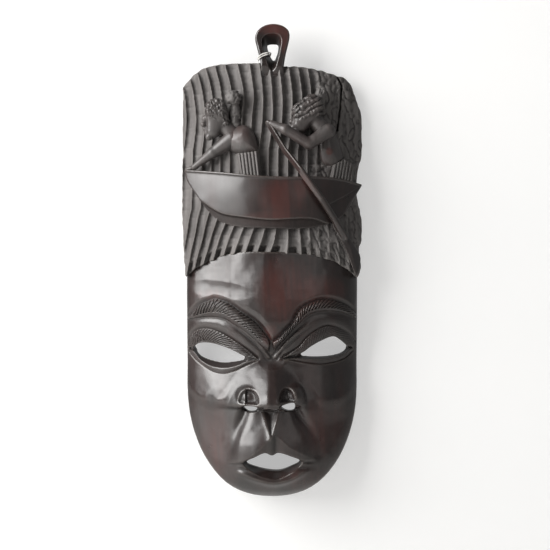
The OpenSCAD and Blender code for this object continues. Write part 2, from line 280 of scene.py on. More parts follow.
def skin(field):
    """Closed quad mesh of the surface where the field passes through zero, in sample steps."""
    shape = np.array(field.shape)
    points, cells = [], []
    for axis in range(3):
        u, v = (axis + 1) % 3, (axis + 2) % 3
        low, high = [slice(1, -1)] * 3, [slice(1, -1)] * 3
        low[axis], high[axis] = slice(None, -1), slice(1, None)
        a, b = field[tuple(low)], field[tuple(high)]
        at = np.argwhere((a < 0) != (b < 0))
        va, vb = a[tuple(at.T)], b[tuple(at.T)]
        at[:, u] += 1
        at[:, v] += 1
        crossing = at.astype(float)
        crossing[:, axis] += va / (va - vb)
        ring = np.repeat(at[:, None, :], 4, axis=1)
        ring[:, (1, 2), u] -= 1
        ring[:, (2, 3), v] -= 1
        ring[va >= 0] = ring[va >= 0][:, ::-1]
        points.append(np.repeat(crossing[:, None, :], 4, axis=1).reshape(-1, 3))
        cells.append((ring @ np.array([shape[1] * shape[2], shape[2], 1])).reshape(-1))
    points, cells = np.concatenate(points), np.concatenate(cells)
    _, corner = np.unique(cells, return_inverse=True)
    count = np.bincount(corner)
    verts = np.stack([np.bincount(corner, points[:, k]) / count for k in range(3)], axis=1)
    for _ in range(2):
        value = sample(field, verts)
        slope = [sample(field, verts + e) - sample(field, verts - e) for e in 0.5 * np.eye(3)]
        slope = np.stack(slope, axis=1)
        move = -value[:, None] * slope / (np.sum(slope * slope, axis=1, keepdims=True) + 1e-6)
        verts += np.clip(move, -0.5, 0.5)
    return verts, corner.reshape(-1, 4)


def neighbour_mean(values, quads, times):
    """Each corner's values evened out with its neighbours' that many times."""
    a, b = quads.reshape(-1), np.roll(quads, 1, axis=1).reshape(-1)
    ends, others = np.concatenate([a, b]), np.concatenate([b, a])
    count = np.bincount(ends, minlength=len(values))[:, None]
    for _ in range(times):
        total = [np.bincount(ends, values[others, k], len(values)) for k in range(values.shape[1])]
        values = 0.5 * values + 0.5 * np.stack(total, 1) / count
    return values


def corner_normals(verts, quads):
    p = verts[quads]
    face = np.cross(p[:, 2] - p[:, 0], p[:, 3] - p[:, 1])
    normal = [np.bincount(quads.reshape(-1), np.repeat(face[:, k], 4), len(verts)) for k in range(3)]
    normal = np.stack(normal, 1)
    return normal / (np.linalg.norm(normal, axis=1, keepdims=True) + 1e-12)


def drop_specks(verts, quads):
    """The mesh without crumbs: only its largest connected part is kept."""
    label = np.arange(len(verts))
    while True:
        low = label[quads].min(axis=1)
        new = label.copy()
        np.minimum.at(new, quads.reshape(-1), np.repeat(low, 4))
        new = new[new]
        if np.array_equal(new, label):
            break
        label = new
    names, sizes = np.unique(label, return_counts=True)
    keep = label == names[sizes.argmax()]
    if keep.all():
        return verts, quads
    index = np.cumsum(keep) - 1
    return verts[keep], index[quads[keep[quads[:, 0]]]]


# Patches of red-brown heartwood: centre x, z, half width, half height, strength
RED_PATCHES = (
    (12, -222, 30, 34, 1.0), (44, -222, 26, 16, 0.8), (-1, -262, 9, 12, 0.9), (-55, -226, 18, 6, 0.5),
    (-52, -362, 16, 40, 0.5), (46, -345, 22, 30, 0.6), (30, -392, 26, 14, 0.4), (8, -140, 22, 22, 1.0),
    (0, -158, 34, 8, 0.6), (28, -128, 10, 12, 0.6), (52, -96, 4, 4, 1.4), (2, 16, 20, 8, 1.2),
    (12, 4, 6, 14, 0.9), (-30, -80, 12, 12, 0.35), (30, -120, 30, 46, 0.25),
)


def red_patches(x, z):
    """Where the red-brown heartwood shows, from 0 to 1."""
    total = 0.10 + 0.12 * noise(x, z / 5, 9, 41)
    for *place, strength in RED_PATCHES:
        total = total + strength * dome(x, z, *place, 1.0)
    streak = 0.5 + 0.5 * noise(x + 0.08 * z, z / 14, 2.6, 42)
    broad = 0.5 + 0.5 * noise(x, z / 5, 7, 43)
    return unit(total * (0.35 + 0.7 * streak + 0.35 * broad))


def carve(name, block, field, material, nodes):
    """A piece of the mask from a carved field, in metres, riding on the mask."""
    verts, quads = drop_specks(*skin(field))
    verts = block.low + block.cell * verts
    place = np.stack([verts[:, 0], -verts[:, 1], verts[:, 2]], axis=1)
    quads = quads[:, ::-1]
    normal = corner_normals(place, quads)
    hollow = np.sum((neighbour_mean(place, quads, 12) - place) * normal, axis=1)
    mesh = bpy.data.meshes.new(name)
    mesh.vertices.add(len(place))
    mesh.vertices.foreach_set("co", (place * MM).astype(np.float32).reshape(-1))
    mesh.loops.add(quads.size)
    mesh.loops.foreach_set("vertex_index", quads.astype(np.int32).reshape(-1))
    mesh.polygons.add(len(quads))
    mesh.polygons.foreach_set("loop_start", np.arange(0, quads.size, 4, dtype=np.int32))
    mesh.polygons.foreach_set("use_smooth", np.ones(len(quads), bool))
    mesh.update(calc_edges=True)
    for label, values in (("hollow", hollow), ("red", red_patches(place[:, 0], place[:, 2]))):
        mesh.attributes.new(label, "FLOAT", "POINT").data.foreach_set("value", values.astype(np.float32))
    mesh.materials.append(material)
    piece = bpy.data.objects.new(name + "_carving", mesh)
    bpy.context.collection.objects.link(piece)
    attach(piece, BODY)
    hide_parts(*nodes)
    return piece


# ---------------------------------------------------------------- materials
def fill(tree, made, inputs):
    """Link or set a node's inputs, by name or number."""
    for key, value in inputs.items():
        if isinstance(value, bpy.types.NodeSocket):
            tree.links.new(value, made.inputs[key])
        else:
            made.inputs[key].default_value = value


def node(tree, kind, inputs=None, **values):
    """A new node with its properties set and its inputs linked or filled."""
    made = tree.nodes.new(kind)
    for key, value in values.items():
        setattr(made, key, value)
    fill(tree, made, inputs or {})
    return made


def rgba(colour):
    """A grey value, or red, green and blue, as a full colour."""
    return (*((colour,) * 3 if isinstance(colour, (int, float)) else colour), 1)


def ramp(tree, source, stops):
    """A colour ramp over source: stops are (place, grey or colour)."""
    made = node(tree, "ShaderNodeValToRGB", {"Fac": source})
    elements = made.color_ramp.elements
    while len(elements) < len(stops):
        elements.new(0.5)
    for element, (place, colour) in zip(elements, stops):
        element.position = place
        element.color = rgba(colour)
    return made.outputs["Color"]


def mix(tree, factor, a, b):
    """Colour a passing into colour b."""
    a, b = (value if isinstance(value, bpy.types.NodeSocket) else rgba(value) for value in (a, b))
    return node(tree, "ShaderNodeMix", {0: factor, 6: a, 7: b}, data_type="RGBA").outputs[2]


def sums(tree, how, *values):
    return node(tree, "ShaderNodeMath", dict(enumerate(values)), operation=how).outputs[0]


def new_material(name):
    """A material with its node tree and its main shader."""
    material = bpy.data.materials.new(name)
    material.use_nodes = True
    return material, material.node_tree, material.node_tree.nodes["Principled BSDF"]


def mapped(tree, scale):
    place = node(tree, "ShaderNodeTexCoord").outputs["Object"]
    return node(tree, "ShaderNodeMapping", {"Vector": place, "Scale": scale}).outputs["Vector"]


def grain_noise(tree, scale, size, detail=3.0, roughness=0.6):
    return node(tree, "ShaderNodeTexNoise", {"Vector": mapped(tree, scale), "Scale": size, "Detail": detail,
                                             "Roughness": roughness}).outputs["Fac"]


def wood_material(name, base, polished, duller=0.0):
    """Dark wood with vertical grain and red streaks: rubbed smooth, or matt from the gouge."""
    if name in bpy.data.materials:
        return bpy.data.materials[name]
    wood = bpy.context.scene.mask_wood
    material, tree, shader = new_material(name)
    grain = grain_noise(tree, (260, 260, 16), 1.0, 4.0)
    pores = grain_noise(tree, (1500, 1500, 70), 1.0, 2.0)
    cloud = grain_noise(tree, (1, 1, 0.45), 26.0, 3.0)
    hollow, red = (node(tree, "ShaderNodeAttribute", attribute_name=label).outputs["Fac"]
                   for label in ("hollow", "red"))
    dark_grain, pale_grain, pale_cloud = ([share * part for part in base] for share in (0.62, 1.25, 1.7))
    colour = mix(tree, ramp(tree, grain, ((0.35, 0.0), (0.7, 1.0))), dark_grain, pale_grain)
    colour = mix(tree, ramp(tree, cloud, ((0.35, 0.0), (0.7, 0.5))), colour, pale_cloud)
    colour = mix(tree, sums(tree, "MULTIPLY", red, 0.95 if polished else 0.3), colour, tuple(wood.red))
    # Painted shade darkens the hollows of the cuts, and the crests are paled
    cut = ramp(tree, sums(tree, "MULTIPLY_ADD", hollow, 1.6, 0.5), ((0.45, 0.0), (0.9, 1.0)))
    crest = ramp(tree, sums(tree, "MULTIPLY", hollow, -2.2), ((0.12, 0.0), (0.8, 1.0)))
    # Painted shade: the hollows of the cuts are mixed up to halfway towards near black
    colour = mix(tree, sums(tree, "MULTIPLY", cut, 0.5), colour, (0.012, 0.010, 0.009))
    # The colour that the convex crests are paled towards
    crest_pale = (0.10, 0.085, 0.075) if polished else (0.15, 0.138, 0.13)
    colour = mix(tree, sums(tree, "MULTIPLY", crest, 0.45 if polished else 0.6), colour, crest_pale)
    uneven = grain_noise(tree, (1, 1, 0.5), 60.0, 4.0)
    smooth, rough = (wood.sheen - 0.06, wood.sheen + 0.12) if polished else (0.5, 0.68)
    roughness = ramp(tree, uneven, ((0.3, smooth + duller), (0.72, rough + duller)))
    height = sums(tree, "ADD", sums(tree, "MULTIPLY", grain, 0.5), sums(tree, "MULTIPLY", pores, 0.5))
    if not polished:
        height = sums(tree, "ADD", height, grain_noise(tree, (1, 1, 0.6), 900.0, 3.0))
    strength, distance = (0.25, 0.0003) if polished else (0.5, 0.0005)
    bump = node(tree, "ShaderNodeBump", {"Height": height, "Strength": strength, "Distance": distance})
    fill(tree, shader, {
        "Base Color": colour, "Roughness": mix(tree, cut, roughness, 0.75), "Normal": bump.outputs["Normal"],
        "Specular IOR Level": 0.65 if polished else 0.45,
    })
    if polished:
        fill(tree, shader, {"Coat Weight": 0.5 - 2 * duller, "Coat Roughness": 0.2})
    return material


def polished_wood():
    return wood_material("rubbed_ebony", bpy.context.scene.mask_wood.dark, True)


def handled_wood():
    """The small figures: waxed but never rubbed to a full shine."""
    wood = bpy.context.scene.mask_wood
    between = [0.6 * dark + 0.4 * dusty for dark, dusty in zip(wood.dark, wood.dusty)]
    return wood_material("waxed_ebony", between, True, 0.12)


def carved_wood():
    return wood_material("gouged_ebony", bpy.context.scene.mask_wood.dusty, False)


def keel_wood():
    """The canoe's underside: cut smooth but never dusty or rubbed."""
    return wood_material("scraped_ebony", [1.5 * dark for dark in bpy.context.scene.mask_wood.dark], False)


# ---------------------------------------------------------------- the face
# The rim's width on the wall, the thinnest that the wood gets, and the depth over which a hole tapers
RIM_WIDTH, THINNEST_WALL, HOLE_TAPER = 9, 7, 10
FACE_TOP = -186
CHIN = -411
FACE_HALF_W = 78.5
# Lines and outlines on the face, as (x, z) from the left to the right or round in a ring
HAIRLINE = [
    (-79, -210), (-70, -202), (-57, -196), (-44, -191), (-25, -188.5), (13, -189), (38, -190.5),
    (57, -196), (73, -206), (79, -212),
]

LEFT_BROW_TOP = [
    (-78, -246), (-74, -242), (-66, -235), (-57, -231), (-51, -229.4), (-40, -232.8), (-27.5, -241),
    (-17, -248), (-11, -254), (-7, -259), (-1.5, -267.5),
]
LEFT_BROW_LOW = [
    (-78, -249), (-72, -248), (-63, -246.6), (-54, -246), (-43.5, -247.5), (-34.5, -252.5), (-23, -260.5),
    (-11.5, -270.7), (-2.5, -277.6),
]
RIGHT_BROW_TOP = [
    (0, -268), (6, -264), (11.5, -258), (18.5, -251), (24, -240), (32, -234), (44, -230), (57.5, -231),
    (69, -236), (78, -243.5),
]
RIGHT_BROW_LOW = [
    (2, -276), (9, -268.5), (17.5, -259), (25.5, -251), (34.5, -243.5), (46, -241), (62, -242),
    (78, -248),
]
LEFT_CREASE = [
    (-78, -268), (-72, -260.5), (-64, -256.9), (-54, -257.5), (-43.6, -261.5), (-32, -268.4),
    (-20.6, -276.5), (-12.6, -283.6),
]
LEFT_EYE_TOP = [
    (-77, -275), (-71.5, -273.5), (-66.6, -270.2), (-57.4, -269.6), (-46, -272), (-34.4, -276.5),
    (-25.2, -281), (-12.6, -284),
]
LEFT_RIM = [
    (-76, -276.5), (-72, -278), (-65, -285.6), (-55, -290.8), (-42.4, -292), (-31, -289.6), (-23, -286),
    (-12.6, -284.2),
]
LEFT_UNDER = [
    (-77, -280), (-69.5, -287), (-57.4, -294.5), (-46, -297.5), (-34.4, -295.6), (-23, -290.4),
    (-13, -286),
]
LEFT_EYE_BACK = [
    (-71.5, -273.5), (-66.6, -270.2), (-57.4, -269.6), (-46, -272), (-34.4, -276.5), (-25.2, -281.5),
    (-31, -283.4), (-40, -284.5), (-54, -283.3), (-65.4, -280.2),
]
RIGHT_CREASE = [
    (9.5, -282.6), (24, -273), (30, -266), (38, -259.2), (49.4, -254.1), (59.7, -255.8), (70, -261.5),
    (76, -269),
]
RIGHT_EYE_TOP = [
    (9.5, -283), (26.4, -278.4), (34.5, -273), (43.7, -267.9), (55.1, -263.8), (62.3, -267.3),
    (68.5, -272.4), (75.5, -274.5),
]
RIGHT_RIM = [(9.5, -283.4), (23, -283), (34.5, -284), (50.6, -284), (64.8, -281), (71, -276), (75.5, -275)]
RIGHT_UNDER = [(10, -284.5), (18.4, -286), (32.2, -288.6), (48.3, -289.8), (66, -286), (75.5, -278)]
RIGHT_EYE_BACK = [
    (26.4, -278.6), (34.5, -273), (43.7, -267.9), (55.1, -263.8), (62.3, -267.3), (68.3, -272.6),
    (63.6, -277.6), (49.4, -280), (34.5, -280),
]
LIP_CREST = [
    (-45, -379), (-28, -374.5), (-14, -366), (-1, -353), (4, -351), (16, -362), (28, -368.5), (41, -375),
]
CHEEK_LINE = [(-82, -303), (-66, -317), (-55, -321), (-44, -318), (-37, -308), (-30, -299)]
LEFT_BOWL = [(-28.5, -322.5), (-28, -315), (-23, -310.5), (-16, -312), (-12.5, -318), (-14, -323)]
RIGHT_BOWL = [(7.5, -321.5), (7.5, -314), (12, -309.5), (18, -311.5), (21, -317), (20, -321.5)]
MOUTH_BACK = [
    (-23, -377), (-15, -371.6), (-6.5, -367.9), (0, -370), (6, -367.9), (15.5, -370.5), (25, -375.6),
    (17.5, -380.5), (7.5, -384.3), (-2, -384), (-13, -381.5),
]
MOUTH_FRONT = [
    (-26, -377), (-15.5, -371), (-6.5, -367), (0, -369.4), (6, -367), (16, -370), (27, -375.6),
    (20, -384), (8, -390.5), (0, -391.5), (-14, -387),
]
NOSTRILS = [[(-25.5, -326), (-19, -325.2), (-13.5, -326), (-14.5, -330), (-21, -330.5)],
            [(8, -325.5), (14, -323), (20, -322.6), (20, -329), (13, -329.5)]]
FOLD_LINES = [
    [(-24, -330), (-30, -345), (-35, -360), (-41, -374)],
    [(22, -330), (30, -343), (38, -357), (41, -370)],
]
MOUTH_CORNERS = [[(-43, -379.5), (-34, -378.5), (-24, -377.5)], [(41, -376.5), (34, -376.5), (26, -376)]]
LOWER_LIP = [(-42, -380), (-31, -385.5), (-16, -391.5), (0, -395.5), (14, -393), (28, -386), (39, -378)]


def face_outline():
    """The face's outline: straight sides and a full, rounded chin."""
    turn, low, fullness = -310, CHIN, 0.9
    a = np.radians(np.arange(0, -181, -5))
    side = FACE_HALF_W * np.sign(np.cos(a)) * np.abs(np.cos(a)) ** fullness
    chin = np.stack([side, turn + (turn - low) * np.sin(a)], axis=1)
    return np.vstack([chin, [(-FACE_HALF_W, -180), (FACE_HALF_W, -180)]])


# The face is cut from a cylinder of this radius, this far out from the wall at its middle
FACE_RADIUS, FACE_MIDDLE = 106, 50
# Soft bumps on the face: centre x, z, half width, half height, height
FACE_DOMES = (
    (-46, -318, 34, 30, 3.0), (46, -316, 34, 30, 3.0), (-1, -368, 50, 36, 5.0),
    (-58, -345, 16, 30, -2.2), (58, -345, 16, 30, -1.8),
)


def cylinder_depth(x, middle, radius):
    """Depth of an upright cylinder's front."""
    return middle - (radius - np.sqrt(np.maximum(radius**2 - x**2, 1)))


def face_base(x, z, edge):
    """The face's broad form, before the features are cut."""
    down_the_face = [(-412, -24), (-408, -17), (-402, -10), (-392, -3), (-378, 1), (-355, 1.5), (-330, 0),
                     (-305, -3), (-288, -5), (-272, -2), (-250, 1), (-225, 1.5), (-200, -1), (-180, -2)]
    depth = cylinder_depth(x, FACE_MIDDLE, FACE_RADIUS) + height_on(down_the_face, z, 5)
    round_over = 9 + 7 * soft_step((-330 - z) / 60)
    over = unit(1 - np.clip(-edge, 0, 60) / round_over)
    depth = depth - round_over * 0.55 * (1 - np.sqrt(1 - over**2))
    for *place, height in FACE_DOMES:
        depth = depth + height * dome(x, z, *place)
    return depth + 0.45 * noise(x, z * 0.8, 13, 1) + 0.12 * noise(x, z, 5, 2)


def brow_relief(x, z, top, low):
    """How far a brow stands out from the face, and the distance to its outline."""
    across, _ = between_lines(x, z, top, low)
    edge = outline_distance(x, z, band_outline(top, low))
    return 4.2 * np.sin(np.pi * unit(0.12 + 0.88 * across)) ** 0.8 * soft_step(-edge / 1.2), edge


def nose_height(x, z):
    """How far the nose stands out from the face."""
    down = unit((-286 - z) / 38)
    height = 21.5 * down**0.8
    left = soft_max(0, -3.4 - x, 1.8) / (21 + 29 * down)
    right = soft_max(0, x - 0.5 - 5.2 * down, 1.6) / (15 + 16 * down)
    flanks = height * unit(1 - left - right) - 0.14 * np.clip(x + 3.4, 0, 9) * down
    flanks = flanks - 5.5 * unit((-315 - z) / 13) ** 2 * unit(1 - 0.8 * left)
    wings = 13 * dome(x, z, -20.5, -317.5, 14.5, 13, 0.9) + 12 * dome(x, z, 16.5, -316, 13.5, 12.5, 0.9)
    fade = np.maximum(soft_step((z + 331) / 6), soft_step((12 - np.abs(x - 1.5)) / 4))
    nose = soft_max(flanks * fade, wings, 3.5) - soft_max(0, 0, 3.5)
    return np.maximum(nose, 0) * soft_step((z + 330.5) / 4)


def shape_brows(depth, x, z):
    """Raise the forehead and the beds of the brows, and cut back the orbits and the lids' sockets."""
    tops = [smooth_line(LEFT_BROW_TOP), smooth_line(RIGHT_BROW_TOP)]
    lows = [smooth_line(LEFT_BROW_LOW), smooth_line(RIGHT_BROW_LOW)]
    forehead = outline_distance(x, z, np.vstack([*tops, [(90, -180), (-90, -180)]]))
    depth += 2.6 * soft_step(-forehead / 5 + 0.15)
    depth += 2.8 * unit(1 - np.abs(x + 7) / 30) * soft_step(-forehead / 8) * soft_step((z + 278) / 30)
    depth -= 1.1 * dome(x, z + 0.12 * (x + 48), -48, -221, 34, 8, 1.2)
    for top, low in zip(tops, lows):
        relief, _ = brow_relief(x, z, top, low)
        depth += np.maximum(relief - 1.2, 0)
    # Under the brows the orbits are cut back, with a soft swelling over each lid
    for low, crease in zip(lows, (LEFT_CREASE, RIGHT_CREASE)):
        crease = smooth_line(crease)
        orbit = outline_distance(x, z, band_outline(low, crease))
        across, _ = between_lines(x, z, low, crease)
        depth += (1.6 * np.sin(np.pi * across) ** 0.7 - 1.2) * soft_step(-orbit / 2)
        crease_d, _ = line_distance(x, z, crease)
        depth -= 1.8 * ridge(crease_d, 1.3)
    depth -= 2.4 * dome(x, z, 0, -282, 13, 12, 1.0)
    # The lids lie in sockets
    for crease, under in ((LEFT_CREASE, LEFT_UNDER), (RIGHT_CREASE, RIGHT_UNDER)):
        socket = outline_distance(x, z, band_outline(smooth_line(crease), smooth_line(under)))
        depth -= 4.5 * soft_step(-socket / 3.0)


def shape_nose(depth, x, z):
    """Raise the nose, and hollow out its nostril bowls, which are open to the front."""
    depth += nose_height(x, z)
    # A flat facet lies inside each bowl
    left_facet = (0.55 + 0.35 * unit((x + 28.5) / 4.5)) * soft_step(0.5 - (x + 23.3) / 1.2)
    for bowl, facet in ((LEFT_BOWL, left_facet), (RIGHT_BOWL, unit((x - 14.5) / 5.5))):
        inside = outline_distance(x, z, smooth_line(bowl, True, 4))
        depth -= (6.2 - 3.4 * facet) * soft_step((1.4 - inside) / 4.2)
    for nostril in ((-19.5, -327.5, 8, 3.2), (14, -326, 8, 4)):
        depth -= 4 * dome(x, z, *nostril, 0.6)


def shape_muzzle(depth, x, z):
    """Cut the folds from the nose to the corners of the mouth, and turn the lower cheeks in."""
    for line in FOLD_LINES:
        d, along = line_distance(x, z, smooth_line(line))
        depth -= 4.6 * ridge(d, 4.4) * (1 - 0.8 * soft_step(along / 40))
    # Between the folds the lip slopes down to both sides, like a low roof
    middle = 2.3 + 1.2 * soft_step((-332 - z) / 26)
    reach = 27 + 18 * unit((-332 - z) / 42)
    roof = middle * (1 - soft_max(0, np.abs(x + 0.5) - 1.5, 2) / reach)
    depth += soft_max(roof, 0, 1.2) * soft_step((-326 - z) / 7) * soft_step((z + 386) / 10)
    # The groove under the nose is a sharp, narrow wedge
    wedge = outline_distance(x, z, np.array([(-8.5, -328), (6.5, -328), (-0.5, -354)]))
    depth -= 4.2 * unit(-wedge / 4.6)
    depth += 0.25 * ridge(wedge - 1.2, 1.6) * (z < -326)
    depth += 1.2 * ridge(x + 0.5, 3.5) * soft_step((-340 - z) / 12) * soft_step((z + 372) / 6)
    # Below the cheeks' lower edges the face turns down and in
    for side, strength in ((-1, 1.0), (1, 0.6)):
        drop = np.clip(height_on(CHEEK_LINE, -np.abs(x)) - z, 0, 60)
        turned = soft_step((side * x - 27) / 20) * soft_step((z + 404) / 24)
        depth -= strength * (2.2 * soft_step(drop / 11) + 0.1 * np.minimum(drop, 46)) * turned


def shape_mouth(depth, x, z):
    """Bevel the upper lip from its crest down to the mouth, and raise the lower lip."""
    crest, _ = line_distance(x, z, smooth_line(LIP_CREST))
    below = soft_step((height_on(LIP_CREST, x) - z) / 1.5)
    near_mouth = unit(1 - np.abs(x + 1) / 42) ** 0.5 * soft_step((z + 386) / 6)
    depth -= np.minimum(0.5 * crest, 6.0) * below * near_mouth
    # A thin raised strip runs from under each brow to the nose's root
    for side in (-1, 1):
        d, along = line_distance(x, z, smooth_line([(side * 40, -247), (side * 15, -267), (side * 3, -282)]))
        strip = 0.9 * ridge(d, 1.1) - 0.7 * ridge(d - 2.6, 0.9)
        depth += strip * soft_step((along - 1) / 22)
    # The lower lip is a rounded rim, and a knife cut runs out from each corner of the mouth
    d, along = line_distance(x, z, smooth_line(LOWER_LIP))
    ends = soft_step(along / 36) * soft_step((along.max() - along) / 22)
    depth += 3.5 * ridge(d, 3.2) * ends
    for corner in MOUTH_CORNERS:
        d, along = line_distance(x, z, smooth_line(corner))
        depth -= 1.3 * ridge(d, 1.3) * soft_step(along / 9)


def face_front(x, z, edge):
    """The carved front of the face, as a depth over x and z."""
    depth = face_base(x, z, edge)
    for shape in (shape_brows, shape_nose, shape_muzzle, shape_mouth):
        shape(depth, x, z)
    return depth


def hole(block, front_ring, back_ring, t, steps):
    """Distance into a hole that passes from its back outline to its front one as t rises from 0 to 1."""
    front, back = (block.deep(outline_distance(block.x, block.z, smooth_line(ring, True, steps)))
                   for ring in (front_ring, back_ring))
    return back + (front - back) * t


def face_field(block):
    """The face's solid: its carved front, the hollow behind it, and its openings."""
    x, z = block.x, block.z
    edge = outline_distance(x, z, face_outline())
    front = face_front(x, z, edge)
    solid = block.relief(front, edge, 1.2)
    wall = carving().wall / MM
    back = np.minimum(cylinder_depth(x, FACE_MIDDLE, FACE_RADIUS - wall) - wall, front - THINNEST_WALL)
    back = back + 0.5 * noise(x, z, 9, 5)
    chin = 26 * soft_step((-375 - z) / 30)
    cavity = soft_max(block.depth - block.deep(back - chin), block.deep(edge + RIM_WIDTH), 3.0)
    solid = np.maximum(soft_max(solid, -cavity, 1.0), -block.depth)
    # The eyes, mouth and nostrils go right through
    base = np.minimum(front, cylinder_depth(x, 58, FACE_RADIUS))
    t = unit((block.depth - block.deep(base - HOLE_TAPER)) / HOLE_TAPER) ** 0.8
    for front_ring, back_ring in (
        (np.vstack([LEFT_EYE_TOP[1:-1], LEFT_RIM[::-1][1:-1]]), LEFT_EYE_BACK),
        (np.vstack([RIGHT_EYE_TOP[1:-1], RIGHT_RIM[::-1][1:-1]]), RIGHT_EYE_BACK),
        (MOUTH_FRONT, MOUTH_BACK), *((nostril, nostril) for nostril in NOSTRILS),
    ):
        solid = soft_max(solid, -hole(block, front_ring, back_ring, t, 5), 0.8)
    # The face ends a little way under the hair
    hair = outline_distance(x, z, np.vstack([HAIRLINE, [(90, -150), (-90, -150)]]))
    return np.maximum(solid, -block.deep(hair) - 1.5)


class MASK_OT_face(bpy.types.Operator):
    """Carve the face: forehead, cheeks, nose, lips and chin, with open eyes, nostrils and mouth"""

    bl_idname = "mask.face"
    bl_label = "Face"

    def execute(self, context):
        cell = cell_of(carving().cell)
        block = Block((-80, 0, CHIN - 1), (80, 78, FACE_TOP), cell)
        carve("face", block, face_field(block), polished_wood(),
              ["forehead", "cheeks", "jaw", "nose_ridge", "left_nostril_wing", "right_nostril_wing",
               "left_lip_fold", "right_lip_fold", "upper_lip", "lower_lip"])
        return {"FINISHED"}


# ---------------------------------------------------------------- brows and lids
def hatching(x, z, line, across, pitch, slant, depth):
    """Knife cuts across a band: how deep they go at each place."""
    _, along = line_distance(x, z, line)
    phase = (along + slant * across) / pitch + 0.15 * noise(x, z, 6, 11)
    wave = np.abs(phase - np.round(phase)) * 2
    return depth * unit(1 - wave / 0.8)


def set_in(block, outline, front, face_depth, thick=4.5):
    """A piece let into the face: its own carved front, its outline, and a flat bed."""
    solid = block.relief(front, outline, 0.6)
    return np.maximum(solid, block.back_at(face_depth - thick))


class MASK_OT_brows(bpy.types.Operator):
    """Carve the two raised brows, with knife cuts slanting across their upper halves"""

    bl_idname = "mask.brows"
    bl_label = "Brows"

    def execute(self, context):
        pitch = carving().hatch_pitch / MM
        cell = cell_of(carving().fine_cell)
        for name, top, low, slant, span in (
            ("left_brow", LEFT_BROW_TOP, LEFT_BROW_LOW, 15, (-79.5, 2)),
            ("right_brow", RIGHT_BROW_TOP, RIGHT_BROW_LOW, 12, (-2, 79.5)),
        ):
            block = Block((span[0], 8, -280), (span[1], 60, -227), cell)
            x, z = block.x, block.z
            top, low = smooth_line(top), smooth_line(low)
            across, along = between_lines(x, z, top, low)
            base = face_base(x, z, outline_distance(x, z, face_outline()))
            relief, edge = brow_relief(x, z, top, low)
            cuts = hatching(x, z, top, across, pitch, slant, 2.5)
            cuts = cuts * soft_step((0.74 - across) / 0.12) * soft_step(along / 8)
            cuts = cuts * soft_step((along.max() - along if name == "left_brow" else along) / 12)
            front = base + relief + 0.4 - cuts
            sides = np.abs(x) - FACE_HALF_W - 0.7
            carve(name, block, set_in(block, np.maximum(edge, sides), front, base), polished_wood(),
                  [name])
        return {"FINISHED"}


class MASK_OT_lids(bpy.types.Operator):
    """Carve the eyelids: hatched upper lids and narrow lower ones, round the open eyes"""

    bl_idname = "mask.lids"
    bl_label = "Eyelids"

    def execute(self, context):
        pitch = carving().hatch_pitch / MM * 0.85
        cell = cell_of(carving().fine_cell)
        for name, upper, lower, height, cut, span in (
            ("left_upper_lid", LEFT_CREASE, LEFT_EYE_TOP, 3.6, 1.5, (-79, -10)),
            ("right_upper_lid", RIGHT_CREASE, RIGHT_EYE_TOP, 3.4, 0.6, (7, 79)),
            ("left_lower_lid", LEFT_RIM, LEFT_UNDER, 2.6, 0, (-79, -10)),
            ("right_lower_lid", RIGHT_RIM, RIGHT_UNDER, 2.4, 0, (7, 79)),
        ):
            is_lower = "lower" in name
            low_z, high_z = (-300, -273) if is_lower else (-286, -252)
            block = Block((span[0], 8, low_z), (span[1], 58, high_z), cell)
            x, z = block.x, block.z
            upper, lower = smooth_line(upper), smooth_line(lower)
            across, _ = between_lines(x, z, upper, lower)
            edge = outline_distance(x, z, band_outline(upper, lower))
            base = face_base(x, z, outline_distance(x, z, face_outline())) - 3.2
            if is_lower:
                front = base + (height * np.cos(0.5 * np.pi * across) ** 0.8 + 0.5)
            else:
                front = base + height * np.sin(np.pi * unit(0.2 + 0.62 * across)) ** 0.7
                front = front - hatching(x, z, upper, across, pitch, 12, cut) * soft_step(-edge / 1.5)
            sides = np.abs(x) - FACE_HALF_W - 0.5
            carve(name, block, set_in(block, np.maximum(edge, sides), front, base, 5), polished_wood(),
                  [name])
        return {"FINISHED"}


# ---------------------------------------------------------------- hair
HAIR_OUTLINE = [
    (-82.6, -34), (-75.6, -25), (-66.3, -18.5), (-54.6, -15), (-37.5, -13.8), (-6.7, -14.5), (9.4, -17.2),
    (27, -17.4), (43.2, -20.2), (58, -23.9), (68, -26.7), (74, -34.8), (78.4, -47.8), (82.6, -62),
    (82.9, -97), (79.9, -107), (78.4, -117.5), (78.2, -135.6), (82.5, -157), (82.1, -176.4), (79.5, -184),
    (81.4, -202), (77.6, -211),
]
LEFT_EDGE = [
    (-79.3, -209), (-81.5, -180), (-82.9, -150), (-83, -104), (-82.2, -98), (-83, -70), (-82.4, -50),
]
CRACK = [(60.5, -27), (64, -34), (62.6, -53), (59.5, -76)]


# The hair is cut from a cylinder of this radius; the paddlers and the paddle's blade reach this far into it
HAIR_RADIUS, FIGURE_SINK = 125, 6


def leaning(z):
    """Depth of the hair's middle, which leans back towards the top."""
    return 53 - 0.105 * (z + 200)


def hair_depth(x, z):
    """The hair's broad front."""
    middle = leaning(z) + 2.6 * soft_step((-166 - z) / 12) - 2.0 * soft_step((z + 26) / 14)
    return soft_max(cylinder_depth(x, middle, HAIR_RADIUS), 9, 6)


def flow(x, z):
    """Sideways place on the gouge lines, which lean outward below the canoe and sway a little above it."""
    fan = 0.32 * dome(x, 0 * z, -42, 0, 62, 1, 1.0) - 0.07 * soft_step(x / 30)
    lean = fan * np.clip(-148 - z, 0, 60)
    bow = 3.2 * (1 - unit(np.abs(z + 54) / 40) ** 2)
    sway = bow - 5 * unit((z + 75) / 55) ** 2 * soft_step((-18 - x) / 30)
    return x + lean - sway + 0.9 * noise(x, z, 22, 21)


def lock_place(x, z):
    """Sideways place, counted in locks."""
    return (flow(x, z) + 2.9) / (carving().lock_pitch / MM)


